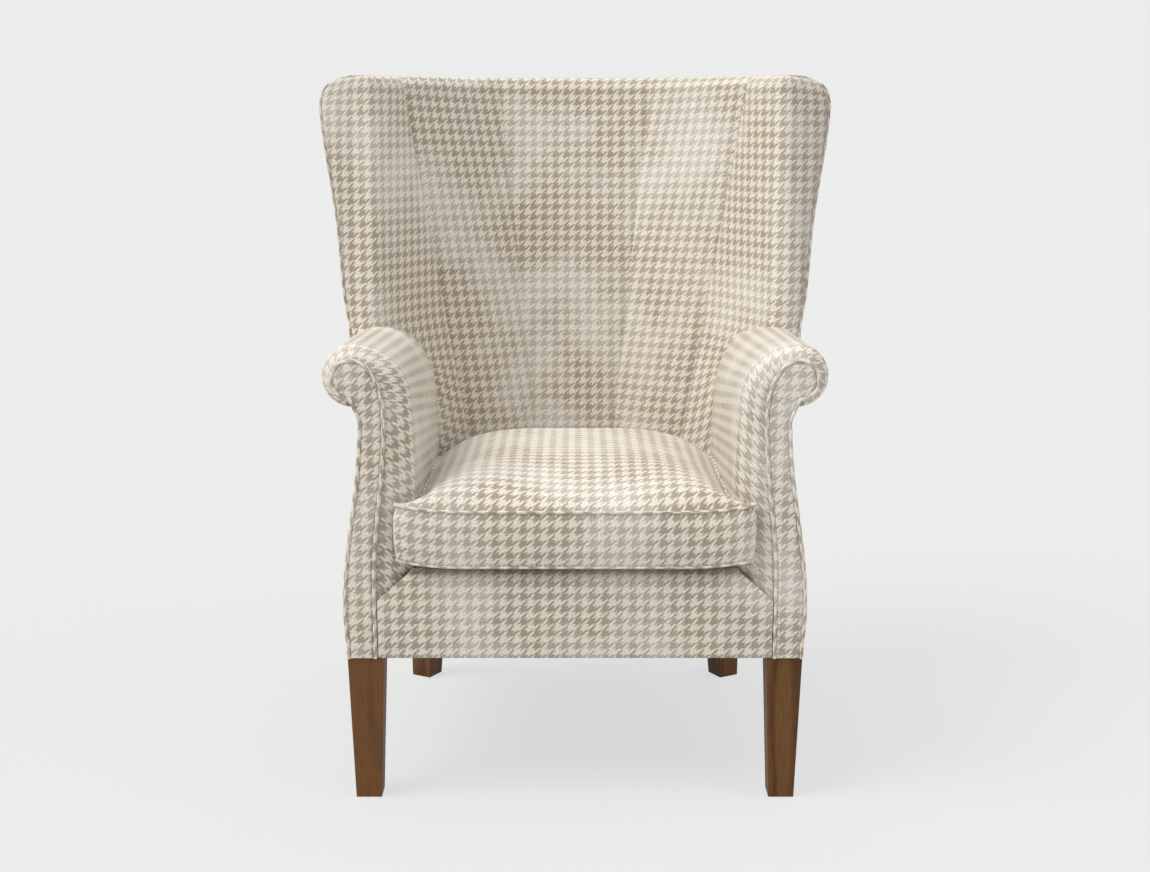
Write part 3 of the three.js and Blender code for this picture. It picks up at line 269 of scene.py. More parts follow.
def houndstooth():
    made, tree, shader = material("houndstooth_wool")

    def sums(operation, *values):
        return maths(tree, operation, *values)

    def split(place):
        return node(tree, "ShaderNodeSeparateXYZ", {0: place}).outputs

    def ranged(value, low, high, kind="LINEAR"):
        inputs = {"Value": value, "From Min": low, "From Max": high}
        made = node(tree, "ShaderNodeMapRange", inputs, interpolation_type=kind)
        return made.outputs["Result"]

    def soft_bands(run):
        wave = sums("SINE", sums("MULTIPLY", run, 2 * math.pi))
        return ranged(wave, -band_edge, band_edge)

    cloth = node(tree, "ShaderNodeUVMap", uv_map="cloth").outputs["UV"]
    place = object_place(tree)
    fuzz = noise(tree, cloth, scale=360, detail=4, roughness=0.7)
    ragged = sums("MULTIPLY", sums("SUBTRACT", fuzz, 0.5), ragged_edge)
    across = sums("ADD", sums("DIVIDE", split(cloth)["X"], check_width), ragged)
    up = sums("ADD", sums("DIVIDE", split(cloth)["Y"], check_height), ragged)
    warp_shows = soft_bands(sums("MULTIPLY", sums("SUBTRACT", across, up), 2))
    warp_dark = sums("MULTIPLY", warp_shows, soft_bands(across))
    weft_dark = sums("MULTIPLY", sums("SUBTRACT", 1, warp_shows), soft_bands(up))
    wool_tone = mixed(tree, (*cream, 1), (*taupe, 1), sums("ADD", warp_dark, weft_dark))

    hue = noise(tree, place, scale=11, detail=2)
    hues = ramp(tree, hue, (0.35, warm_wool), (0.65, cool_wool))
    wool_tone = mixed(tree, wool_tone, hues, blend="MULTIPLY")
    # Painted light: lighter patches scattered by noise over every cover, pools of light laid into
    # the wool's colour.
    light_patch_noise = noise(tree, place, scale=7.5, detail=3, roughness=0.55)
    painted_light_patches = sums("MULTIPLY", ramp(tree, light_patch_noise, (0.42, (0, 0, 0)), (0.66, white)), painted_light_share)
    wool_tone = mixed(tree, wool_tone, (*painted_light_tone, 1), painted_light_patches)
    # Painted shade: the wool is darker towards the outer edges above arm height, over the wings'
    # fronts and outer sides, standing in for less light there.
    outwards = ranged(sums("ABSOLUTE", split(place)["X"]), *painted_shade_across, "SMOOTHSTEP")
    upwards = ranged(split(place)["Z"], *painted_shade_up, "SMOOTHSTEP")
    painted_wing_shade = sums("MULTIPLY", outwards, upwards)
    wool_tone = mixed(tree, wool_tone, (*painted_shade_tone, 1), painted_wing_shade, "MULTIPLY")
    fleck = noise(tree, cloth, scale=340, detail=4, roughness=0.8)
    flecks = ramp(tree, fleck, (0.3, fleck_shade), (0.58, white))

    dimples = bump(tree, noise(tree, place, scale=26, detail=2), strength=0.35, distance=0.004)
    feed(tree, shader, {
        "Base Color": mixed(tree, wool_tone, flecks, blend="MULTIPLY"),
        "Roughness": 0.92,
        "Sheen Weight": 0.25,
        "Sheen Roughness": 0.5,
        "Specular IOR Level": 0.2,
        "Normal": bump(tree, fuzz, strength=0.5, distance=0.0006, Normal=dimples),
    })
    return made


wool = houndstooth()


# Covers: each is cut from the wool, sewn, pulled over the padding and stapled to the frame.
# It is drawn as grids of points on its outer side that are joined at their shared edges. The
# cloth gets its thickness inwards and its raw edges are closed.
cloth_thickness = 0.002
weld_reach = 0.00002


class Cover:
    """Grids of points with their cloth coordinates, joined into one skin."""

    def __init__(self):
        self.bm = bmesh.new()
        self.uv = self.bm.loops.layers.uv.new("cloth")
        self.known = {}

    def vertex(self, place):
        key = tuple(round(value / weld_reach) for value in place)
        if key not in self.known:
            self.known[key] = self.bm.verts.new(place)
        return self.known[key]

    def grid(self, rows, cloth, facing):
        """Faces over rows of points, turned to face a direction at the middle."""
        i, j = len(rows) // 2 - 1, len(rows[0]) // 2 - 1
        normal = (rows[i][j + 1] - rows[i][j]).cross(rows[i + 1][j] - rows[i][j])
        flip = normal.dot(Vector(facing)) < 0
        for i in range(len(rows) - 1):
            for j in range(len(rows[i]) - 1):
                corners = [(i, j), (i, j + 1), (i + 1, j + 1), (i + 1, j)]
                if flip:
                    corners.reverse()
                self.face([rows[a][b] for a, b in corners], [cloth[a][b] for a, b in corners])

    def band(self, low, high, mark, flip=False):
        """Faces between two closed rings; mark gives the cloth coordinates of a place."""
        for k in range(len(low)):
            m = (k + 1) % len(low)
            quad = [low[k], low[m], high[m], high[k]]
            if flip:
                quad.reverse()
            self.face(quad, [mark(p) for p in quad])

    def face(self, places, cloth):
        """A face of joined points, left out where it has no width or is there already."""
        made = []
        marks = []
        for place, mark in zip(places, cloth):
            vertex = self.vertex(place)
            if vertex not in made:
                made.append(vertex)
                marks.append(mark)
        if len(made) < 3 or self.bm.faces.get(made):
            return
        face = self.bm.faces.new(made)
        face.smooth = True
        for loop, mark in zip(face.loops, marks):
            loop[self.uv].uv = mark

    def thicken(self):
        """The cloth's inner side and its closed raw edges."""
        self.bm.normal_update()
        outer = list(self.bm.faces)
        rim = [loop for face in outer for loop in face.loops if loop.edge.is_boundary]
        depth = cloth_thickness
        inner = {v: self.bm.verts.new(v.co - v.normal * depth) for v in list(self.bm.verts)}
        for face in outer:
            back = self.bm.faces.new([inner[v] for v in reversed(face.verts)])
            back.smooth = True
            for loop, other in zip(back.loops, reversed(list(face.loops))):
                loop[self.uv].uv = other[self.uv].uv
        for loop in rim:
            a = loop.vert
            b = loop.link_loop_next.vert
            edge = self.bm.faces.new((b, a, inner[a], inner[b]))
            marks = (loop.link_loop_next[self.uv].uv, loop[self.uv].uv)
            for corner, mark in zip(edge.loops, (marks[0], marks[1], marks[1], marks[0])):
                corner[self.uv].uv = mark

    def finish(self, name, *cad_names, body="chair", thick=True):
        if thick:
            self.thicken()
        made = piece(name, mesh_of(self.bm, name), wool)
        if cad_names:
            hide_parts(*cad_names)
        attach(made, body)
        return made


# Inside back: five upright panels of wool over foam, sewn together so that each bulges
# between its seams, stapled over the top edge to the crest rail. The barrel leans back and
# opens upwards; the middle three panels are this piece and the outer two are the wings.
chair_height = 1.05
arm_level = 0.65
wing_level = 1.0
seat_level = 0.455
back_lean = math.tan(math.radians(15))
seat_back_y = front_y + 0.523
barrel_at_arm = 0.312
barrel_at_top = 0.335
seam_low_level = 0.49
inner_seam_degrees = (13.6, 22)
outer_seam_degrees = (37.7, 56)
flute_crown = 0.009
seam_groove = 0.0022
groove_width = 0.0042
back_thickness = 0.085
thickening = (0.35, 0.9)
top_radius = 0.024
shoulder = chair_height - top_radius
outer_seam_depth = 0.008
covers_low = 0.346
wing_front_y = front_y + 0.316
wing_rake = math.tan(math.radians(19.5))
wing_corner = 0.028
wing_thickness_low = 0.062
wing_thickness_top = 0.094
wing_flare = 0.013
wing_flare_rise = 0.21
wing_tuck = 0.004
wing_tuck_rise = 0.065
wing_foot_angle = math.radians(58)
wing_foot_levels = (0.55, 0.62)
panel_steps = 20
level_steps = 44


def lerp(a, b, share):
    return a + (b - a) * share


def steps(low, high, count):
    """Evenly spaced values from low to high, both included."""
    return [lerp(low, high, i / count) for i in range(count + 1)]


def eased(low, high, count):
    """The same, closer together towards both ends."""
    return [lerp(low, high, (1 - math.cos(math.pi * i / count)) / 2) for i in range(count + 1)]


def smooth(value, low, high):
    """0 below low and 1 above high, with an S-shaped change between them."""
    share = min(1, max(0, (value - low) / (high - low)))
    return share * share * (3 - 2 * share)


def rise(z):
    return (z - arm_level) / (wing_level - arm_level)


def barrel(z):
    return lerp(barrel_at_arm, barrel_at_top, rise(z))


def centre_y(z):
    return seat_back_y + (z - seat_level) * back_lean - barrel(z)


def seam_angle(low, top, z):
    share = (z - seam_low_level) / (wing_level - seam_low_level)
    return math.radians(lerp(low, top, share))


def inner_seam(z):
    return seam_angle(*inner_seam_degrees, z)


def outer_seam(z):
    return seam_angle(*outer_seam_degrees, z)


def wing_thickness(z):
    """A wing's padded thickness: it grows upwards, flares at the top and is thin at the arm."""
    flare = wing_flare * smooth(z, wing_level - wing_flare_rise, wing_level)
    tuck = wing_tuck * (1 - smooth(z, arm_level, arm_level + wing_tuck_rise))
    return lerp(wing_thickness_low, wing_thickness_top, max(0, rise(z))) + flare - tuck


def wing_angle(z):
    """The angle round the barrel at which a wing's front edge lies."""
    middle = barrel(z) + wing_thickness(z) / 2
    reach = wing_front_y + (z - arm_level) * wing_rake + wing_corner - centre_y(z)
    return lerp(wing_foot_angle, math.acos(reach / middle), smooth(z, *wing_foot_levels))


def thickness(angle, z):
    share = smooth(abs(angle) / wing_angle(z), *thickening)
    return lerp(back_thickness, wing_thickness(z), share)


def on_barrel(angle, radius, z):
    """The point at an angle from the middle of the back, a radius from the barrel's centre."""
    return Vector((radius * math.sin(angle), centre_y(z) + radius * math.cos(angle), z))


def flute(across, half_width):
    """How far a flute stands out of the barrel, with a narrow groove at each seam."""
    crown = flute_crown * (1 - across * across)
    to_seam = (1 - abs(across)) * half_width
    return crown - seam_groove * math.exp(-((to_seam / groove_width) ** 2))


def fluted(angle, z, edges):
    low, high = edges
    across = (angle - low) / (high - low) * 2 - 1
    return barrel(z) - flute(across, (high - low) / 2 * barrel(z))


seam_turn = math.acos(1 - outer_seam_depth / top_radius)
low_turns = steps(0, seam_turn, 4)
high_turns = steps(seam_turn, math.pi / 2, 5)
flat_steps = 4


def rounded(edge, inwards, turns):
    """Points round the top edge, from a point on the shoulder under it."""
    up = Vector((0, 0, 1))
    return [
        edge + inwards * top_radius * (1 - math.cos(t)) + up * top_radius * math.sin(t)
        for t in turns
    ]


def over_the_top(inner, outer):
    """The path from the inside edge of the shoulder over the top to the outer seam."""
    across = (outer - inner).normalized()
    rising = rounded(inner, across, low_turns + high_turns[1:])
    falling = rounded(outer, -across, high_turns)[::-1]
    flat = [rising[-1].lerp(falling[0], i / flat_steps) for i in range(1, flat_steps)]
    return rising + flat + falling


def lengths(path):
    """The distance along a path at each of its points."""
    run = [0.0]
    for a, b in zip(path, path[1:]):
        run.append(run[-1] + (b - a).length)
    return run


def outer_radius(angle, z):
    return barrel(z) + thickness(angle, z)


back_levels = steps(covers_low, shoulder, level_steps)
panel_edges = (
    (lambda z: -outer_seam(z), lambda z: -inner_seam(z)),
    (lambda z: -inner_seam(z), inner_seam),
    (inner_seam, outer_seam),
)
inside_back = Cover()
for low_edge, high_edge in panel_edges:
    rows = []
    cloth = []
    for share in eased(0, 1, panel_steps):
        column = []
        for z in back_levels:
            edges = (low_edge(z), high_edge(z))
            angle = lerp(*edges, share)
            column.append(on_barrel(angle, fluted(angle, z, edges), z))
        angle = lerp(low_edge(shoulder), high_edge(shoulder), share)
        outer = on_barrel(angle, outer_radius(angle, shoulder), shoulder)
        column += over_the_top(column[-1], outer)[1:]
        rows.append(column)
        run = lengths(column)
        marks = []
        for j in range(len(column)):
            z = back_levels[min(j, len(back_levels) - 1)]
            width = (high_edge(z) - low_edge(z)) * barrel(z)
            marks.append(((share - 0.5) * width, run[j]))
        cloth.append(marks)
    inside_back.grid(rows, cloth, (0, -1, 0))
inside_back = inside_back.finish("inside_back_panels", "inside_back_cover", "back_pad")


# Wings: the outer panel on each side wraps round a padded wooden upright and its rounded
# front edge, closes over the top and ends at the piped seam down its outer edge. Its foot,
# below the roll, is trimmed thin and tucked inside the arm.
nose_steps = 7
nose_share = 0.45
wing_steps = 18
wing_levels = steps(covers_low, shoulder, 40)
wing_root = 0.25
wing_root_levels = (0.57, 0.61)
corner_across = (0.365, 0.42)
corner_up = 0.995
corner_drop = 0.011
corner_draw = 0.007


def nose(z):
    """Places and normals round the front edge of the right wing, and where its seam comes."""
    angle = wing_angle(z)
    inner = barrel(z)
    outer = inner + wing_thickness(z) * lerp(wing_root, 1, smooth(z, *wing_root_levels))
    radius = min(wing_corner, (outer - inner) * nose_share)
    ahead = Vector((math.cos(angle), -math.sin(angle), 0))
    outwards = Vector((math.sin(angle), math.cos(angle), 0))
    turn_to_seam = math.acos(1 - outer_seam_depth / radius)
    turns = [(inner + radius, turn) for turn in steps(math.pi, math.pi / 2, nose_steps)]
    turns += [(outer - radius, turn) for turn in steps(math.pi / 2, turn_to_seam, nose_steps)]
    turns += [(outer - radius, turn) for turn in steps(turn_to_seam, 0, 3)[1:]]
    ring = []
    for reach, turn in turns:
        normal = outwards * math.cos(turn) + ahead * math.sin(turn)
        ring.append((Vector((0, centre_y(z), z)) + outwards * reach + normal * radius, normal))
    return ring


def soft_corner(place):
    """A point as the cloth rounds it at a wing's top outer corner: down and inwards."""
    share = smooth(abs(place.x), *corner_across) * smooth(place.z, corner_up, chair_height)
    across = math.copysign(abs(place.x) - corner_draw * share, place.x)
    return Vector((across, place.y, place.z - corner_drop * share))


def sided(rows, cloth, facing, way):
    """The right hand grid as it is, or mirrored for the left hand side."""
    places = [[soft_corner(Vector((way * p.x, p.y, p.z))) for p in row] for row in rows]
    marks = [[(way * u, v) for u, v in row] for row in cloth]
    return places, marks, (way * facing[0], facing[1], facing[2])


nose_rings = [nose(z) for z in wing_levels]
seam_column = 2 * nose_steps + 1


def wing_columns():
    """Upright lines of the right wing's cloth: over its inner side, then round its nose."""
    columns = []
    for share in eased(0, 1, wing_steps):
        column = []
        for z in wing_levels:
            edges = (outer_seam(z), wing_angle(z))
            width = (edges[1] - edges[0]) * barrel(z)
            crown = flute_crown * (1 - (share * 2 - 1) ** 2)
            groove = seam_groove * math.exp(-((share * width / groove_width) ** 2))
            column.append(on_barrel(lerp(*edges, share), barrel(z) - crown + groove, z))
        angle = lerp(outer_seam(shoulder), wing_angle(shoulder), share)
        outer = on_barrel(angle, outer_radius(angle, shoulder), shoulder)
        columns.append(column + over_the_top(column[-1], outer)[1:])
    for k in range(1, seam_column + 1):
        column = [ring[k][0] for ring in nose_rings]
        inwards = -nose_rings[-1][k][1]
        columns.append(column + rounded(column[-1], inwards, low_turns + high_turns[1:])[1:])
    return columns


def wing_cloth(columns):
    """Cloth coordinates, measured from the middle of the nose and steady below the roll."""
    front = wing_steps + nose_steps
    levels = range(len(wing_levels))
    across = [lengths([column[j] for column in columns]) for j in levels]
    ups = lengths(columns[front][: len(wing_levels)])
    root = next(j for j in levels if wing_levels[j] > arm_level)
    cloth = []
    for i, column in enumerate(columns):
        top = lengths(column[len(wing_levels) - 1:])
        own = lengths(column[: len(wing_levels)])
        up = [ups[j] if j >= root else ups[root] - own[root] + own[j] for j in levels]
        marks = [(across[j][i] - across[max(j, root)][front], up[j]) for j in levels]
        cloth.append(marks + [(marks[-1][0], ups[-1] + run) for run in top[1:]])
    return cloth


wing_grid = wing_columns()
wing_marks = wing_cloth(wing_grid)


def wing_cover(name, way, *cad_names):
    """A wing's inner side, its nose, the flat of its top and the edge behind that."""
    cover = Cover()
    inner = wing_steps + 1
    cover.grid(*sided(wing_grid[:inner], wing_marks[:inner], (-1, 0, 0), way))
    height = len(wing_grid[-1])
    round_nose = [column[:height] for column in wing_grid[wing_steps:]]
    nose_marks = [marks[:height] for marks in wing_marks[wing_steps:]]
    cover.grid(*sided(round_nose, nose_marks, (0.4, -1, 0), way))
    ring = nose_rings[-1]
    last = len(ring) - 1
    inset = [rounded(place, -normal, [math.pi / 2])[0] for place, normal in ring]
    cap = []
    for k in range(last // 2 + 1):
        cap.append([inset[k].lerp(inset[last - k], i / flat_steps) for i in range(flat_steps + 1)])
    cap_cloth = [[(p.x, p.y) for p in row] for row in cap]
    cover.grid(*sided(cap, cap_cloth, (0, 0, 1), way))
    edge = [rounded(place, -normal, high_turns) for place, normal in ring[seam_column:]]
    edge_cloth = [[(p.x, p.z) for p in column] for column in edge]
    cover.grid(*sided(edge, edge_cloth, (1, 0, 0.5), way))
    made = cover.finish(name, *cad_names)
    return made


for side, way in both_sides:
    wing_cover(f"wing_panel_{side}", way, f"wing_cover_{side}", f"wing_pad_{side}")


# Arm covers: wool stretched over a foam padded rail, up the inner side, over the top, round
# the roll and back to its underside. The front edge is eased over the rim of the facing and
# gathered in small pleats round the scroll. The rear end of the roll closes in a dome.
neck_height = 0.565
hip_height = 0.285
hem_height = 0.215
neck_half_width = 0.3085
hip_half_width = 0.336
hem_half_width = 0.332
frame_top = 0.3
rear_corner_half_width = 0.292
rear_corner_y = front_y + 0.563
rear_corner_turn = math.radians(45)
base_rear_y = front_y + 0.612
base_rear_radius = 0.9
arm_inner_half_width = 0.233
arm_inner_rear_half_width = 0.229
arm_inner_rear_y = 0.434
arm_top_height = 0.671
arm_top_fall = 0.014
arm_fall_run = 0.316
roll_centre_x = 0.314
roll_radius = 0.045
arm_rise_front = 0.078
arm_rise_rear = 0.128
arm_front_edge = 0.03
arm_rear = 0.445
roll_end = 0.395
roll_closing = 0.955
roll_turn_in = 0.03
arm_padding = 0.004
arm_padding_low = 0.33
facing_neck_half_width = 0.273
facing_hip_half_width = 0.291
facing_hip_height = 0.32
scroll_radius = 0.025
scroll_centre = (0.314, 0.622)
facing_set_in = 0.008
facing_depth = 0.005
facing_rim_share = 0.6
piping_radius = 0.003
pleat_height = 0.0006
pleat_pace = 1.9
pleats_before = 6
arm_start = facing_depth + arm_front_edge
arm_padded_from = 0.05
side_steps = 24
over_turns = 12
roll_turns = 26


def wave(share):
    """An S-shaped share, flat at both ends, like one bend of the facing's outline."""
    return (1 - math.cos(math.pi * min(1, max(0, share)))) / 2


def front_half_width(z):
    """Half the width of the chair's front at a height, along its S-shaped side."""
    if z >= hip_height:
        share = (z - hip_height) / (neck_height - hip_height)
        return lerp(hip_half_width, neck_half_width, wave(share))
    share = (z - hem_height) / (hip_height - hem_height)
    return lerp(hem_half_width, hip_half_width, wave(share))


def corner_angle(z):
    """The angle round the barrel at which the rear corner lies."""
    low = math.atan2(rear_corner_half_width, rear_corner_y - centre_y(z))
    share = min(1, max(0, (z - frame_top) / (arm_level - frame_top)))
    return lerp(low, rear_corner_turn, share)


def rear_radius(angle, z):
    """The outside of the back: a wide curve at the rail that turns into the barrel above."""
    lead = centre_y(z) - (base_rear_y - base_rear_radius)
    along = lead * math.cos(angle)
    wide_curve = math.sqrt(along * along - lead * lead + base_rear_radius**2) - along
    return lerp(wide_curve, barrel(z) + thickness(angle, z), smooth(z, frame_top, arm_level))


def rear_corner(z):
    return on_barrel(corner_angle(z), rear_radius(corner_angle(z), z), z)


def side_x(depth, z):
    """How far out the side lies at a depth behind the front."""
    corner = rear_corner(z)
    return lerp(front_half_width(z), corner.x, depth / (corner.y - front_y))


def arc(centre, radii, start, end, count):
    return [
        Vector((centre[0] + radii[0] * math.cos(t), centre[1] + radii[1] * math.sin(t)))
        for t in steps(start, end, count)
    ]


def arm_section(depth):
    """Outline of the right arm at a depth behind the facing: inner side, over, roll, side."""
    share = depth / arm_inner_rear_y
    inner_x = lerp(arm_inner_half_width, arm_inner_rear_half_width, share)
    arm_rise = lerp(arm_rise_front, arm_rise_rear, share)
    ending = max(0, (depth - roll_end) / (arm_rear - roll_end))
    radius = roll_radius * math.sqrt(1 - (roll_closing * ending) ** 2)
    centre_x = roll_centre_x - roll_turn_in * ending**2
    top = arm_top_height - arm_top_fall * depth / arm_fall_run - roll_radius + radius
    inner_top = top - arm_rise
    inner = []
    for part in steps(0, 1, side_steps):
        z = lerp(hem_height, inner_top, part)
        height = min(1, max(0, (z - arm_padding_low) / (inner_top - arm_padding_low)))
        inner.append(Vector((inner_x - arm_padding * math.sin(math.pi * height), z)))
    over_radii = (centre_x - inner_x, arm_rise)
    over = arc((centre_x, inner_top), over_radii, math.pi, math.pi / 2, over_turns)
    roll = arc((centre_x, top - radius), (radius, radius), math.pi / 2, -math.pi / 2, roll_turns)
    outer = [Vector((side_x(depth, z), z)) for z in steps(neck_height, hem_height, side_steps)]
    return inner + over[1:-1] + roll + outer


def facing_outline():
    """Outline of the right facing, with as many points as an arm section."""
    inner_top = neck_height + facing_set_in
    scroll_top = scroll_centre[1] + scroll_radius

    def inner_x(z):
        share = (z - facing_hip_height) / (neck_height - facing_hip_height)
        return lerp(facing_hip_half_width, facing_neck_half_width, wave(share))

    inner = [Vector((inner_x(z), z)) for z in steps(hem_height, inner_top, side_steps)]
    radii = (scroll_centre[0] - facing_neck_half_width, scroll_top - inner_top)
    over = arc((scroll_centre[0], inner_top), radii, math.pi, math.pi / 2, over_turns)
    radii = (scroll_radius, scroll_radius)
    scroll = arc(scroll_centre, radii, math.pi / 2, -math.pi / 2, roll_turns)
    outer = []
    for z in steps(neck_height, hem_height, side_steps):
        outer.append(Vector((front_half_width(z) - facing_set_in, z)))
    return inner + over[1:-1] + scroll + outer


def drawn_in(outline, depth, closed=True):
    """The outline moved inwards all round by a depth, or outwards where it is negative."""
    count = len(outline)
    moved = []
    for i, p in enumerate(outline):
        before = outline[i - 1] if closed or i else p
        after = outline[(i + 1) % count] if closed or i < count - 1 else p
        along = after - before
        normal = Vector((along.y, -along.x)).normalized()
        moved.append(p + normal * depth)
    return moved


facing_rim = drawn_in(facing_outline(), -piping_radius * facing_rim_share, closed=False)
arm_depths = steps(arm_padded_from, roll_end, 22) + steps(roll_end, arm_rear, 10)[1:]
roll_first = side_steps + over_turns
roll_last = roll_first + roll_turns
neck_index = roll_last + 1
front_turns = 12


def arm_columns():
    """Cloth of the right arm from the rim of the facing to the rear, one list per section."""
    columns = []
    full = arm_section(arm_start)
    for turn in steps(0, math.pi / 2, front_turns):
        depth = facing_depth + arm_front_edge * (1 - math.cos(turn))
        section = []
        for i, (rim, place) in enumerate(zip(facing_rim, full)):
            spot = rim.lerp(place, math.sin(turn))
            pleat = 0
            if roll_first - pleats_before < i < roll_last:
                pleat = pleat_height * math.sin(i * pleat_pace) * math.sin(2 * turn)
            section.append(Vector((spot.x, front_y + depth + pleat, spot.y)))
        columns.append(section)
    for depth in arm_depths:
        columns.append([Vector((p.x, front_y + depth, p.y)) for p in arm_section(depth)])
    return columns


arm_grid = arm_columns()


def arm_cloth(columns, first, last):
    """Cloth coordinates: across is the depth along the arm, up is the distance round it."""
    middle = columns[len(columns) // 2]
    ups = lengths(middle[first:last])
    cloth = []
    for j, section in enumerate(columns):
        marks = []
        for k in range(first, last):
            turn = max(j, front_turns)
            rounding = sum((columns[m][k] - columns[m + 1][k]).length for m in range(j, turn))
            marks.append((columns[turn][k].y - rounding, ups[k - first]))
        cloth.append(marks)
    return cloth


arm_first = 5


def arm_cover(name, way, *cad_names):
    cover = Cover()
    rows = [section[arm_first:neck_index] for section in arm_grid]
    cover.grid(*sided(rows, arm_cloth(arm_grid, arm_first, neck_index), (-0.3, 0, 1), way))
    made = cover.finish(name, *cad_names)
    return made


for side, way in both_sides:
    arm_cover(f"arm_skin_{side}", way, f"arm_cover_{side}", f"arm_pad_{side}")


# Outside covers: flat wool panels stretched over the frame. Each side runs from the piped
# edge of the facing to the rear corner and up behind the wing, the back one spans the two
# rear corners from the hem to the seam under the top edge.
join_height = 0.625
join_run = 0.15
join_lap = 0.02
join_points = 3
search_start = math.radians(60)
search_rounds = 12
side_flat_top = 0.53
side_round_low = 0.64
low_levels = steps(hem_height, neck_height, side_steps)
high_levels = steps(neck_height, shoulder, 34)[1:]
side_levels = low_levels + high_levels


def outside_radius(angle, z):
    """From the barrel's centre to the outside of the chair: round the back, flat at the side."""
    if angle <= corner_angle(z):
        return rear_radius(angle, z)
    corner = rear_corner(z)
    taper = (corner.x - front_half_width(z)) / (corner.y - front_y)
    start = front_half_width(z) + taper * (centre_y(z) - front_y)
    flat = start / (math.sin(angle) - taper * math.cos(angle))
    return lerp(flat, barrel(z) + thickness(angle, z), smooth(z, side_flat_top, side_round_low))


def arm_end_angle(z):
    """The angle round the barrel at which the side passes the rear end of the arm."""
    angle = search_start
    for _ in range(search_rounds):
        reach = (front_y + arm_rear - centre_y(z)) / outside_radius(angle, z)
        angle = (angle + math.acos(min(1, max(-1, reach)))) / 2
    return angle


def side_edge(z):
    """The angle of a side cover's front edge: at the arm's end below, at the wing above."""
    return lerp(arm_end_angle(z), wing_angle(z), smooth(z, neck_height, join_height))


def outside_column(share, levels, z_to_edges):
    """One upright line of an outside cover, at a share of the way between its two edges."""
    column = []
    for z in levels:
        angle = lerp(*z_to_edges(z), share)
        column.append(on_barrel(angle, outside_radius(abs(angle), z), z))
    angle = lerp(*z_to_edges(shoulder), share)
    inwards = -Vector((math.sin(angle), math.cos(angle), 0))
    return column + rounded(column[-1], inwards, low_turns)[1:]


def outside_cloth(columns, level_count):
    """Cloth coordinates: across is measured from the middle column, up is the height."""
    across = [lengths([column[j] for column in columns]) for j in range(level_count)]
    half = len(columns) // 2
    cloth = []
    for i, column in enumerate(columns):
        marks = []
        for j, place in enumerate(column):
            level = min(j, level_count - 1)
            marks.append((across[level][i] - across[level][half], place.z))
        cloth.append(marks)
    return cloth


def outside_side(name, way, *cad_names):
    """A side panel, its strip under the roll of the arm, and the rear edge of the wing."""
    cover = Cover()
    columns = [
        outside_column(share, side_levels, lambda z: (corner_angle(z), side_edge(z)))
        for share in steps(0, 1, panel_steps)
    ]
    cover.grid(*sided(columns, outside_cloth(columns, len(side_levels)), (1, 0.5, 0), way))
    joined = columns[-1][: len(low_levels)][::-1]
    rows = []
    for section in arm_grid:
        depth = section[-1].y - front_y
        share = smooth(depth, arm_rear - join_run, arm_rear)
        row = section[neck_index - join_points : neck_index]
        for place, end, last in zip(section[neck_index:], joined, arm_grid[-1][neck_index:]):
            row.append(place + (end - last) * share)
        rows.append(row)
    cloth = [[(p.y, p.z) for p in row] for row in rows]
    cover.grid(*sided(rows, cloth, (1, 0, 0), way))
    edge_levels = [z for z in high_levels if z > join_height - join_lap]
    edge = []
    for k in range(len(nose_rings[0]) - 1, seam_column - 1, -1):
        column = [nose(z)[k][0] for z in edge_levels]
        edge.append(column + rounded(column[-1], -nose_rings[-1][k][1], low_turns)[1:])
    edge_cloth = [[(p.x, p.z) for p in column] for column in edge]
    cover.grid(*sided(edge, edge_cloth, (1, -0.5, 0), way))
    made = cover.finish(name, *cad_names)
    return made


for side, way in both_sides:
    outside_side(f"outside_side_{side}", way, f"outside_side_cover_{side}")

outside_back = Cover()
outside_levels = steps(hem_height, shoulder, 50)
back_rows = [
    outside_column(share, outside_levels, lambda z: (-corner_angle(z), corner_angle(z)))
    for share in steps(0, 1, 2 * panel_steps)
]
back_cloth = outside_cloth(back_rows, len(outside_levels))
back_rows = [[soft_corner(place) for place in row] for row in back_rows]
outside_back.grid(back_rows, back_cloth, (0, 1, 0))
outside_back = outside_back.finish("outside_back_panel", "outside_back_cover")


# Facings: a flat padded board on the front of each arm, S-shaped with a scroll at the top.
# Its wool is pulled round the board's edge and the board is pinned over the raw edge of the
# arm cover.
# how far each ring of a facing is set in, and how far behind its front it lies
facing_edge = (
    (0.0002, facing_depth),
    (0.0, 0.0024),
    (0.0007, 0.001),
    (0.0022, 0.0002),
    (0.005, 0.0),
)


def facing_panel(name, way, cad_name):
    """A facing made of rings from its rear edge to its flat front."""
    outline = facing_outline()
    cover = Cover()
    rings = []
    for inset, depth in facing_edge:
        ring = drawn_in(outline, inset)
        rings.append([Vector((way * p.x, front_y + depth, max(hem_height, p.y))) for p in ring])
    for outer, inner in zip(rings, rings[1:]):
        cover.band(outer, inner, lambda p: (p.x, p.z), flip=way > 0)
    front = rings[-1] if way < 0 else rings[-1][::-1]
    cover.face(front, [(p.x, p.z) for p in front])
    made = cover.finish(name, cad_name)
    return made


for side, way in both_sides:
    facing_panel(f"facing_panel_{side}", way, f"facing_{side}")


# Piping: cotton cord covered in bias-cut wool and sewn into the seams. It edges both facings,
# and runs down the outer edge of each wing from the middle of the top seam.
cord_sides = 12
cord_smoothing = 2
thin_cord_radius = 0.0024
cord_seat_share = 0.9
cord_set_back = 0.0022
cord_stand = 0.001
wing_cord_low = 0.6


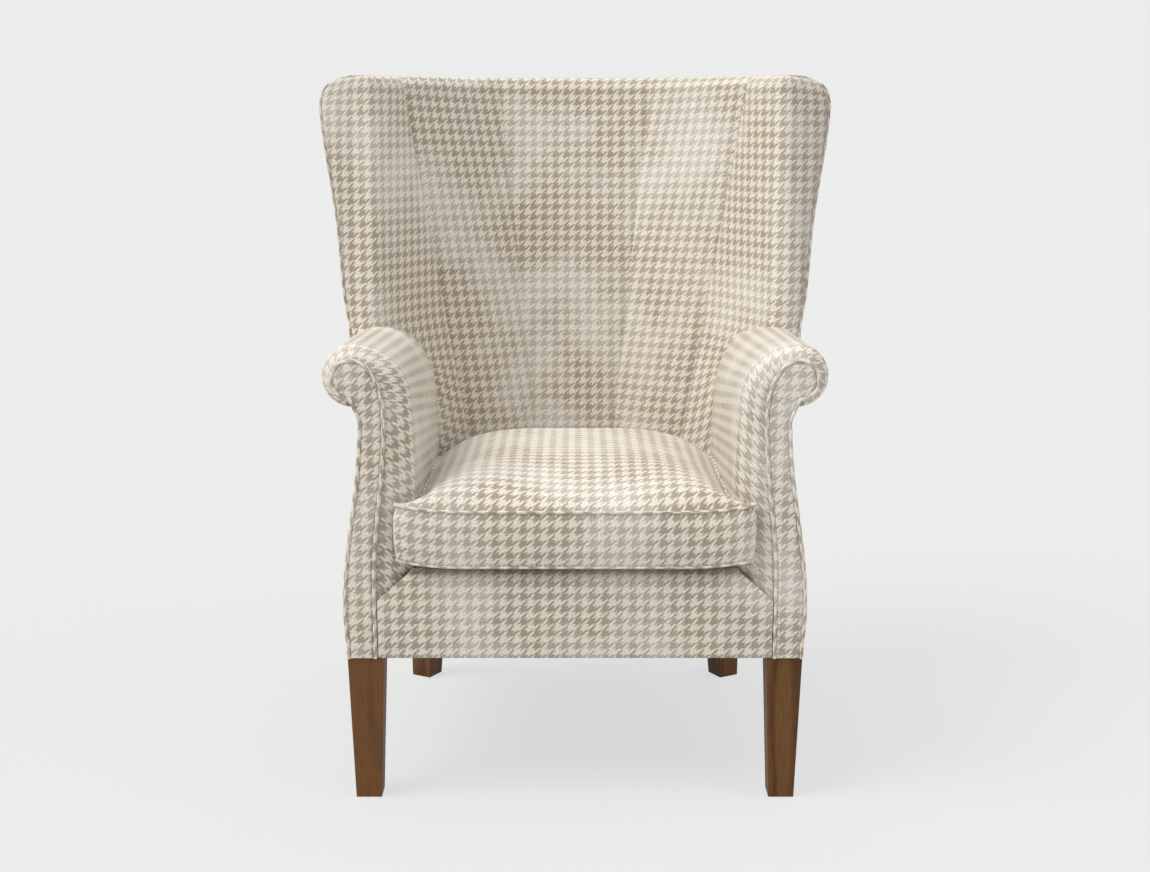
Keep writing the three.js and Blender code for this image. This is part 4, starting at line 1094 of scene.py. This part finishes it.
def new_tree(name, sizes):
    """A geometry tree with a geometry input and named size inputs."""
    tree = bpy.data.node_groups.new(name, "GeometryNodeTree")
    sockets = [("Geometry", "INPUT", "Geometry"), ("Geometry", "OUTPUT", "Geometry")]
    sockets += [(size, "INPUT", "Float") for size in sizes] + [("Material", "INPUT", "Material")]
    for socket, direction, kind in sockets:
        tree.interface.new_socket(socket, in_out=direction, socket_type=f"NodeSocket{kind}")
    return tree, tree.nodes.new("NodeGroupInput").outputs, tree.nodes.new("NodeGroupOutput")


def along_path(name, tree, path, closed, values):
    """The plain mesh that a tree makes along a path of points."""
    edges = [(k, k + 1) for k in range(len(path) - 1)] + ([(len(path) - 1, 0)] if closed else [])
    mesh = bpy.data.meshes.new(name)
    mesh.from_pydata(path, edges, [])
    carrier = bpy.data.objects.new(name, mesh)
    bpy.context.scene.collection.objects.link(carrier)
    maker = carrier.modifiers.new("maker", "NODES")
    maker.node_group = tree
    for socket in tree.interface.items_tree:
        if socket.in_out == "INPUT" and socket.name in values:
            maker[socket.identifier] = values[socket.name]
    ready = carrier.evaluated_get(bpy.context.evaluated_depsgraph_get())
    made = bpy.data.meshes.new_from_object(ready)
    carrier.modifiers.remove(maker)
    bpy.data.objects.remove(carrier)
    bpy.data.meshes.remove(mesh)
    made.name = name
    return made


def piping_tree():
    """A round cord swept along a path, its cloth laid on the bias."""
    tree, given, result = new_tree("piping", ("Radius",))

    def step(kind, inputs, output="Geometry", **settings):
        return node(tree, f"GeometryNode{kind}", inputs, **settings).outputs[output]

    route = step("MeshToCurve", {"Mesh": given["Geometry"]}, "Curve")
    route = step("CurveSplineType", {"Curve": route}, "Curve", spline_type="CATMULL_ROM")
    route = step("SetSplineResolution", {"Geometry": route, "Resolution": cord_smoothing})
    circle = {"Resolution": cord_sides, "Radius": given["Radius"]}
    section = step("CurvePrimitiveCircle", circle, "Curve")
    captured = []
    for curve in (route, section):
        capture = tree.nodes.new("GeometryNodeCaptureAttribute")
        capture.capture_items.new("FLOAT", "Run")
        feed(tree, capture, {"Geometry": curve, "Run": step("SplineParameter", {}, "Length")})
        captured.append(capture.outputs)
    (route, run), (section, around) = ((each["Geometry"], each["Run"]) for each in captured)
    sweep = {"Curve": route, "Profile Curve": section, "Fill Caps": True}
    swept = step("CurveToMesh", sweep, "Mesh")
    half_way = maths(tree, "MULTIPLY", given["Radius"], math.pi)
    turned = maths(tree, "ABSOLUTE", maths(tree, "SUBTRACT", around, half_way))
    bias = math.sqrt(0.5)
    marks = node(tree, "ShaderNodeCombineXYZ", {
        "X": maths(tree, "MULTIPLY", maths(tree, "ADD", run, turned), bias),
        "Y": maths(tree, "MULTIPLY", maths(tree, "SUBTRACT", run, turned), bias),
    }).outputs["Vector"]
    named = {"Geometry": swept, "Name": "cloth", "Value": marks}
    marked = step("StoreNamedAttribute", named, data_type="FLOAT2", domain="CORNER")
    real = step("RealizeInstances", {"Geometry": step("SetShadeSmooth", {"Geometry": marked})})
    finished = step("SetMaterial", {"Geometry": real, "Material": given["Material"]})
    feed(tree, result, {"Geometry": finished})
    return tree


piping_nodes = piping_tree()


def cord(name, path, radius, *cad_names, closed=False, body="chair"):
    """A length of piping along a path, sewn to a body."""
    mesh = along_path(name, piping_nodes, path, closed, {"Radius": radius, "Material": wool})
    mesh.materials.clear()
    made = piece(name, mesh, wool)
    if cad_names:
        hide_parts(*cad_names)
    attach(made, body)
    return made


stand = Vector((0, 0, cord_stand))
for side, way in both_sides:
    rim = drawn_in(facing_outline(), -piping_radius * cord_seat_share, closed=False)
    path = [Vector((way * p.x, front_y + cord_set_back, p.y)) for p in rim]
    path[0].z = hem_height
    path[-1].z = hem_height
    cord(f"facing_cord_{side}", path, piping_radius, f"facing_piping_{side}")
    seam = [nose(z)[seam_column] for z in steps(wing_cord_low, shoulder, 40)]
    path = [place + normal * cord_stand for place, normal in seam]
    top_place, top_normal = seam[-1]
    path += [place + stand for place in rounded(top_place, -top_normal, low_turns)[1:]]
    for share in steps(0, 1, 30):
        angle = lerp(wing_angle(shoulder), 0, share)
        outer = on_barrel(angle, outer_radius(angle, shoulder), shoulder)
        inwards = -Vector((math.sin(angle), math.cos(angle), 0))
        path.append(rounded(outer, inwards, [seam_turn])[0] + stand)
    path = [soft_corner(Vector((way * p.x, p.y, p.z))) for p in path]
    cord(f"wing_cord_{side}", path, thin_cord_radius)


# Front border: one wool panel over the front rail, from the hem up and round a soft edge roll
# at its top. Its upper corners are cut on a slant, which leaves a dark gap beside each arm.
border_front = front_y + 0.0015
border_half_width = 0.2843
slant_low = 0.302
slant_top_half_width = 0.236
lip_height = 0.344
lip_radius = 0.015
border_rear = front_y + 0.062
border_swell = 0.0015
# how far the folded hem's points lie behind the border's front and above its lower edge
border_hem = ((0.004, 0), (0.0005, 0.0006))
border_hem_top = hem_height + 0.0025

border_profile = [Vector((border_front + y, hem_height + z)) for y, z in border_hem]
for z in steps(border_hem_top, lip_height - lip_radius, 20):
    swell = border_swell * math.sin(math.pi * (z - hem_height) / (lip_height - hem_height))
    border_profile.append(Vector((border_front - swell, z)))
for turn in steps(0, math.pi / 2, 8)[1:]:
    border_profile.append(Vector((
        border_front + lip_radius * (1 - math.cos(turn)),
        lip_height - lip_radius * (1 - math.sin(turn)),
    )))
border_profile.append(Vector((border_rear, lip_height)))
front_border = Cover()
border_rows = []
border_run = lengths(border_profile)
border_cloth = []
for share in eased(-1, 1, 60):
    row = []
    marks = []
    for place, run in zip(border_profile, border_run):
        slant = min(1, max(0, (place.y - slant_low) / (lip_height - slant_low)))
        half = lerp(border_half_width, slant_top_half_width, slant)
        row.append(Vector((share * half, place.x, place.y)))
        marks.append((share * half, run))
    border_rows.append(row)
    border_cloth.append(marks)
front_border.grid(border_rows, border_cloth, (0, -1, 0))
front_border = front_border.finish("front_border_panel", "front_border", "front_edge_roll")


# Deck: the platform that the cushion rests on, a flat foam pad over the springs under a dark
# platform cloth.
seat_gap = 0.001
crown_of_flutes = 0.008
corner_depth_share = 0.67
lobe_set_in = 0.003
corner_steps = 14
deck_cloth_gap = 0.0005
deck_corner = 0.014
# how far the rings of the deck's eased upper edge are set in, and lie below its top
deck_edge = ((0.0, 0.006), (0.0015, 0.002), (0.006, 0.0))


def seat_half_width(y):
    share = (y - front_y) / arm_inner_rear_y
    return lerp(arm_inner_half_width, arm_inner_rear_half_width, share) - seat_gap


def seat_outline(front, z, corner, depth=0.0, per_side=36, lobe=0.0):
    """Outline of the seat. A lobe widens its front, where a cushion bulges before the arms."""
    reach = barrel(z) - crown_of_flutes - seat_gap
    meet = math.asin(seat_half_width(front_y + arm_inner_rear_y) / reach)
    rear = [on_barrel(angle, reach, z) for angle in steps(meet, 0, per_side)]
    wide = seat_half_width(front) + lobe
    half = [Vector((x, front, z)) for x in steps(0, wide - corner, per_side)]
    for turn in steps(0, math.pi / 2, corner_steps)[1:]:
        x = wide - corner * (1 - math.sin(turn))
        y = front + corner * corner_depth_share * (1 - math.cos(turn))
        half.append(Vector((x, y, z)))
    if lobe:
        rim = facing_neck_half_width - seat_gap - piping_radius
        narrow = seat_half_width(front_y)
        for turn in steps(math.asin((rim - wide) / (rim - narrow)), math.pi / 2, corner_steps):
            x = lerp(rim, narrow, math.sin(turn))
            y = front_y + facing_depth - lobe_set_in + arm_front_edge * (1 - math.cos(turn))
            half.append(Vector((x, y, z)))
    for y in steps(half[-1].y, rear[0].y, per_side)[1:-1]:
        half.append(Vector((min(seat_half_width(y), reach), y, z)))
    half += rear
    other = [Vector((-p.x, p.y, p.z)) for p in half[-2:0:-1]]
    ring = drawn_in([Vector((p.x, p.y)) for p in half + other], -depth)
    return [Vector((p.x, p.y, z)) for p in ring]


platform_cloth = plain(
    "platform_cloth", (0.075, 0.065, 0.055), roughness=0.95, vary=0.25, scale=900,
)
(_, deck_front, deck_low), (_, _, deck_top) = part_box("deck_pad")
deck = Cover()
deck_rings = []
for depth, z in ((0.0, deck_low), *((depth, deck_top - drop) for depth, drop in deck_edge)):
    front = deck_front + deck_cloth_gap
    ring = seat_outline(front, deck_top, deck_corner, depth + deck_cloth_gap)
    deck_rings.append([Vector((p.x, p.y, z)) for p in ring])
for low_ring, high_ring in zip(deck_rings, deck_rings[1:]):
    deck.band(low_ring, high_ring, lambda p: (p.x, p.y))
deck.face(deck_rings[-1], [(p.x, p.y) for p in deck_rings[-1]])
deck.face(deck_rings[0][::-1], [(p.x, p.y) for p in deck_rings[0]])
deck = deck.finish("deck_platform", "deck_pad", thick=False)
deck.data.materials.clear()
deck.data.materials.append(platform_cloth)


# Seat cushion: a loose boxed cushion with a foam core wrapped in feather. The top and bottom
# panels are sewn to a border with a thin cord in each seam, and the zip lies in the border at
# the rear. The case is filled out by a short cloth simulation, held where it rests.
cushion_front = front_y - 0.015
cushion_low = 0.3515
cushion_seam = 0.434
cushion_crown = 0.486
cushion_corner = 0.022
cushion_lobe = 0.029
cushion_sag = 0.005
cushion_set_in = 0.001
cushion_crown_y = front_y + 0.29
cushion_rear_y = front_y + 0.5
crown_power = 3.4
crown_front_power = 6.5
crown_rear_power = 3.4
crown_corner_power = 10
crown_change = (0.05, 0.6)
corner_lift = 0.010
corner_reach = 0.1
lift_fade = (cushion_front + 0.02, cushion_front + 0.12)
border_steps = 12
side_segments = 40
same_run = 1e-9
fill_pressure = 2.2
fill_frames = 20
fill_shrink = -0.012
cloth_mass = 0.35
cloth_stretch = 12
cloth_shear = 4
cloth_bend = 0.4
swell_limit = 0.016
sink_limit = 0.004
side_limit = 0.0012
limit_change = 0.01
held_level = 0.40
seam_hold = 0.35
top_cord_lift = 0.0006
bottom_cord_lift = 0.0024
bottom_cord_radius = 0.0022


def four_sides(ring):
    """The ring cut at its four corners and spaced evenly: front, right, rear, left."""
    seat_front = min(p.y for p in ring)

    def nearest(aim):
        return min(range(len(ring)), key=lambda k: (ring[k].xy - Vector(aim)).length)

    wide = max(p.x for p in ring)
    rear_y = front_y + arm_inner_rear_y
    corners = [
        nearest((-wide, seat_front)),
        nearest((wide, seat_front)),
        nearest((arm_inner_rear_half_width, rear_y)),
        nearest((-arm_inner_rear_half_width, rear_y)),
    ]
    sides = []
    for start, end in zip(corners, corners[1:] + corners[:1]):
        span = (end - start) % len(ring)
        path = [ring[(start + k) % len(ring)] for k in range(span + 1)]
        run = lengths(path)
        spaced = []
        for share in steps(0, 1, side_segments):
            target = share * run[-1]
            k = max(j for j in range(len(run)) if run[j] <= target + same_run)
            k = min(k, len(run) - 2)
            part = (target - run[k]) / (run[k + 1] - run[k])
            spaced.append(path[k].lerp(path[k + 1], part))
        sides.append(spaced)
    return sides


def panel_grid(sides, height):
    """Points inside four sides, blended across and along, lifted by a height function."""
    front, right, rear, left = sides
    rear = rear[::-1]
    left = left[::-1]
    grid = []
    for j, v in enumerate(steps(0, 1, side_segments)):
        row = []
        for i, u in enumerate(steps(0, 1, side_segments)):
            ruled = front[i].lerp(rear[i], v) + left[j].lerp(right[j], u)
            bilinear = front[0].lerp(front[-1], u).lerp(rear[0].lerp(rear[-1], u), v)
            place = ruled - bilinear
            place.z = height(u, v)
            row.append(place)
        grid.append(row)
    return grid


def crown(u, v):
    """Height of the cushion's top at shares of its width and depth."""
    centre = (cushion_crown_y - cushion_front) / (cushion_rear_y - cushion_front)
    ahead = (centre - v) / centre if v < centre else (v - centre) / (1 - centre)
    across_power = lerp(crown_front_power, crown_rear_power, smooth(v, *crown_change))
    along_power = lerp(crown_power, crown_corner_power, (2 * u - 1) ** 2)
    rise = (1 - abs(2 * u - 1) ** across_power) * (1 - ahead**along_power)
    return lerp(cushion_seam, cushion_crown, rise)


def lifted(place):
    """A point of the cushion with its front corners curled up a little, as stuffing does."""
    out = max(0, abs(place.x) - (cushion_wide - corner_reach)) / corner_reach
    back = 1 - smooth(place.y, *lift_fade)
    return place + Vector((0, 0, corner_lift * min(1, out) ** 2 * back))


def cushion_outline(depth):
    """The cushion from above, drawn in all round by a depth."""
    return seat_outline(cushion_front, deck_top, cushion_corner, depth, lobe=cushion_lobe)


cushion = Cover()
seam_ring = cushion_outline(cushion_sag + cushion_set_in)
top_sides = four_sides(seam_ring)
top_grid = panel_grid(top_sides, crown)
middle_run = lengths([row[side_segments // 2] for row in top_grid])
top_cloth = [[(p.x, run) for p in row] for row, run in zip(top_grid, middle_run)]
cushion.grid(top_grid, top_cloth, (0, 0, 1))
border_rings = []
for part in steps(0, 1, border_steps):
    sides = four_sides(cushion_outline(cushion_sag * abs(2 * part - 1) ** 3 + cushion_set_in))
    level = lerp(cushion_low, cushion_seam, part)
    border_rings.append([Vector((p.x, p.y, level)) for side in sides for p in side[:-1]])
border_rings[-1] = [Vector((p.x, p.y, cushion_seam)) for side in top_sides for p in side[:-1]]
start_run = lengths(border_rings[-1])
for low_ring, high_ring in zip(border_rings, border_rings[1:]):
    for k in range(len(low_ring)):
        m = (k + 1) % len(low_ring)
        start, end = start_run[k], start_run[k] + (high_ring[m] - high_ring[k]).length
        quad = [low_ring[k], low_ring[m], high_ring[m], high_ring[k]]
        cushion.face(quad, [(run, p.z) for run, p in zip((start, end, end, start), quad)])
bottom_grid = panel_grid(top_sides, lambda u, v: cushion_low)
cushion.grid(bottom_grid, [[(p.x, p.y) for p in row] for row in bottom_grid], (0, 0, -1))
bmesh.ops.recalc_face_normals(cushion.bm, faces=cushion.bm.faces)
cushion.bm.verts.index_update()
seam_order = [cushion.vertex(place).index for place in border_rings[-1]]
bottom_order = [cushion.vertex(place).index for place in border_rings[0]]
cushion_wide = max(place.x for place in seam_ring)
for point in cushion.bm.verts:
    point.co = lifted(point.co)
cushion_nodes = (
    "cushion_filling", "cushion_top_panel", "cushion_border", "cushion_bottom_panel",
)
cushion = cushion.finish("seat_cushion_case", *cushion_nodes, body="seat_cushion", thick=False)


def fill_out(soft, held):
    """Cloth simulation with pressure inside; held gives how firmly each point is pinned."""
    before = [v.co.copy() for v in soft.data.vertices]
    group = soft.vertex_groups.new(name="held")
    for vertex in soft.data.vertices:
        group.add([vertex.index], held(vertex.co), "REPLACE")
    cloth = soft.modifiers.new("fill", "CLOTH")
    cloth.settings.quality = 6
    cloth.settings.mass = cloth_mass
    cloth.settings.tension_stiffness = cloth_stretch
    cloth.settings.compression_stiffness = cloth_stretch
    cloth.settings.shear_stiffness = cloth_shear
    cloth.settings.bending_stiffness = cloth_bend
    cloth.settings.vertex_group_mass = "held"
    cloth.settings.use_pressure = True
    cloth.settings.uniform_pressure_force = fill_pressure
    cloth.settings.shrink_min = fill_shrink
    cloth.settings.effector_weights.gravity = 0
    cloth.point_cache.frame_start = 1
    cloth.point_cache.frame_end = fill_frames
    for step in range(1, fill_frames + 1):
        bpy.context.scene.frame_set(step)
    ready = soft.evaluated_get(bpy.context.evaluated_depsgraph_get())
    after = [v.co.copy() for v in ready.data.vertices]
    soft.modifiers.remove(cloth)
    soft.vertex_groups.remove(group)
    bpy.context.scene.frame_set(1)
    for vertex, start, end in zip(soft.data.vertices, before, after):
        moved = end - start
        flat = Vector((moved.x, moved.y, 0))
        loose = smooth(start.z, cushion_seam, cushion_seam + limit_change)
        allowed = lerp(side_limit, swell_limit, loose)
        if flat.length > allowed:
            flat *= allowed / flat.length
        up = max(-sink_limit, min(swell_limit, moved.z))
        vertex.co = start + flat + Vector((0, 0, up))


def cushion_hold(place):
    """Fully held where the cushion rests, and looser up to the top seam and above it."""
    if place.z < held_level:
        return 1.0
    return lerp(1.0, seam_hold, smooth(place.z, held_level, cushion_seam))


fill_out(cushion, cushion_hold)
seams = []
for order, lift in ((seam_order, top_cord_lift), (bottom_order, bottom_cord_lift)):
    seams.append([cushion.data.vertices[k].co + Vector((0, 0, lift)) for k in order])
rounder = cushion.modifiers.new("rounder", "SUBSURF")
rounder.levels = 1
sewn_on = {"closed": True, "body": "seat_cushion"}
cord("cushion_top_cord", seams[0], thin_cord_radius, "cushion_top_piping", **sewn_on)
cord("cushion_bottom_cord", seams[1], bottom_cord_radius, **sewn_on)


# Studio: a pale floor and an even pale surround, a broad soft light from the front left, a
# weaker one from the right and one from above, and the camera at the photograph's angle.
camera_distance = 2.279
camera_height = 0.986
camera_pitch = math.radians(11)
sensor_width = 36
focal_share = 1650 / 1150
warm_light = (1, 0.985, 0.96)
cool_light = (0.98, 0.99, 1)
backdrop = (0.84, 0.84, 0.84, 1)
surround_light = (0.4, 0.4, 0.4, 1)
floor_colour = (0.62, 0.62, 0.62, 1)
floor_glow = 0.78
floor_reach = 40
floor_drop = 0.0002

camera_data = bpy.data.cameras.new("camera")
camera_data.sensor_width = sensor_width
camera_data.lens = focal_share * sensor_width
camera = bpy.data.objects.new("camera", camera_data)
camera.location = (0, front_y - camera_distance, camera_height)
camera.rotation_euler = (math.pi / 2 - camera_pitch, 0, 0)
bpy.context.scene.collection.objects.link(camera)
bpy.context.scene.camera = camera


def sun(name, azimuth, elevation, strength, spread, colour):
    """A distant light, its angles in degrees, its azimuth from the front towards the right."""
    data = bpy.data.lights.new(name, "SUN")
    data.energy = strength
    data.angle = math.radians(spread)
    data.color = colour
    lamp = bpy.data.objects.new(name, data)
    turn = math.radians(azimuth)
    tilt = math.radians(elevation)
    towards = (math.sin(turn) * math.cos(tilt), -math.cos(turn) * math.cos(tilt), math.sin(tilt))
    lamp.rotation_euler = Vector(towards).to_track_quat("Z", "Y").to_euler()
    bpy.context.scene.collection.objects.link(lamp)


sun("key_light", -68, 50, strength=2.35, spread=36, colour=warm_light)
sun("fill_light", 75, 30, strength=0.6, spread=60, colour=cool_light)
sun("top_light", 0, 86, strength=0.9, spread=60, colour=white)


def seen_rays(tree):
    """1 for what the camera sees, directly or mirrored, and 0 for light that falls on things."""
    ray = tree.nodes.new("ShaderNodeLightPath").outputs
    mirrored = maths(tree, "MAXIMUM", ray["Is Glossy Ray"], ray["Is Transmission Ray"])
    return maths(tree, "MAXIMUM", ray["Is Camera Ray"], mirrored)


def shown(tree, share, plain_shader, seen_kind, end):
    """The plain shader, with the even backdrop laid over it where a share says so."""
    seen = node(tree, seen_kind, {"Color": backdrop})
    inputs = {"Fac": share, 1: plain_shader, 2: seen.outputs[0]}
    both = node(tree, "ShaderNodeMixShader", inputs)
    feed(tree, tree.nodes[end], {"Surface": both.outputs[0]})


world = bpy.data.worlds.new("studio")
world.use_nodes = True
surround = world.node_tree
surround.nodes["Background"].inputs["Color"].default_value = surround_light
lit = surround.nodes["Background"].outputs[0]
shown(surround, seen_rays(surround), lit, "ShaderNodeBackground", "World Output")
bpy.context.scene.world = world

floor_bm = bmesh.new()
for x, y in ((-1, -1), (1, -1), (1, 1), (-1, 1)):
    floor_bm.verts.new((x * floor_reach, y * floor_reach, -floor_drop))
floor_bm.faces.new(floor_bm.verts[:])
floor_paint, floor_tree, floor_shader = material("floor_paint")
feed(floor_tree, floor_shader, {"Base Color": floor_colour, "Roughness": 0.9})
glow = maths(floor_tree, "MULTIPLY", seen_rays(floor_tree), floor_glow)
shown(floor_tree, glow, floor_shader.outputs[0], "ShaderNodeEmission", "Material Output")
piece("floor", mesh_of(floor_bm, "floor"), floor_paint)

bpy.context.scene.view_settings.view_transform = "Standard"
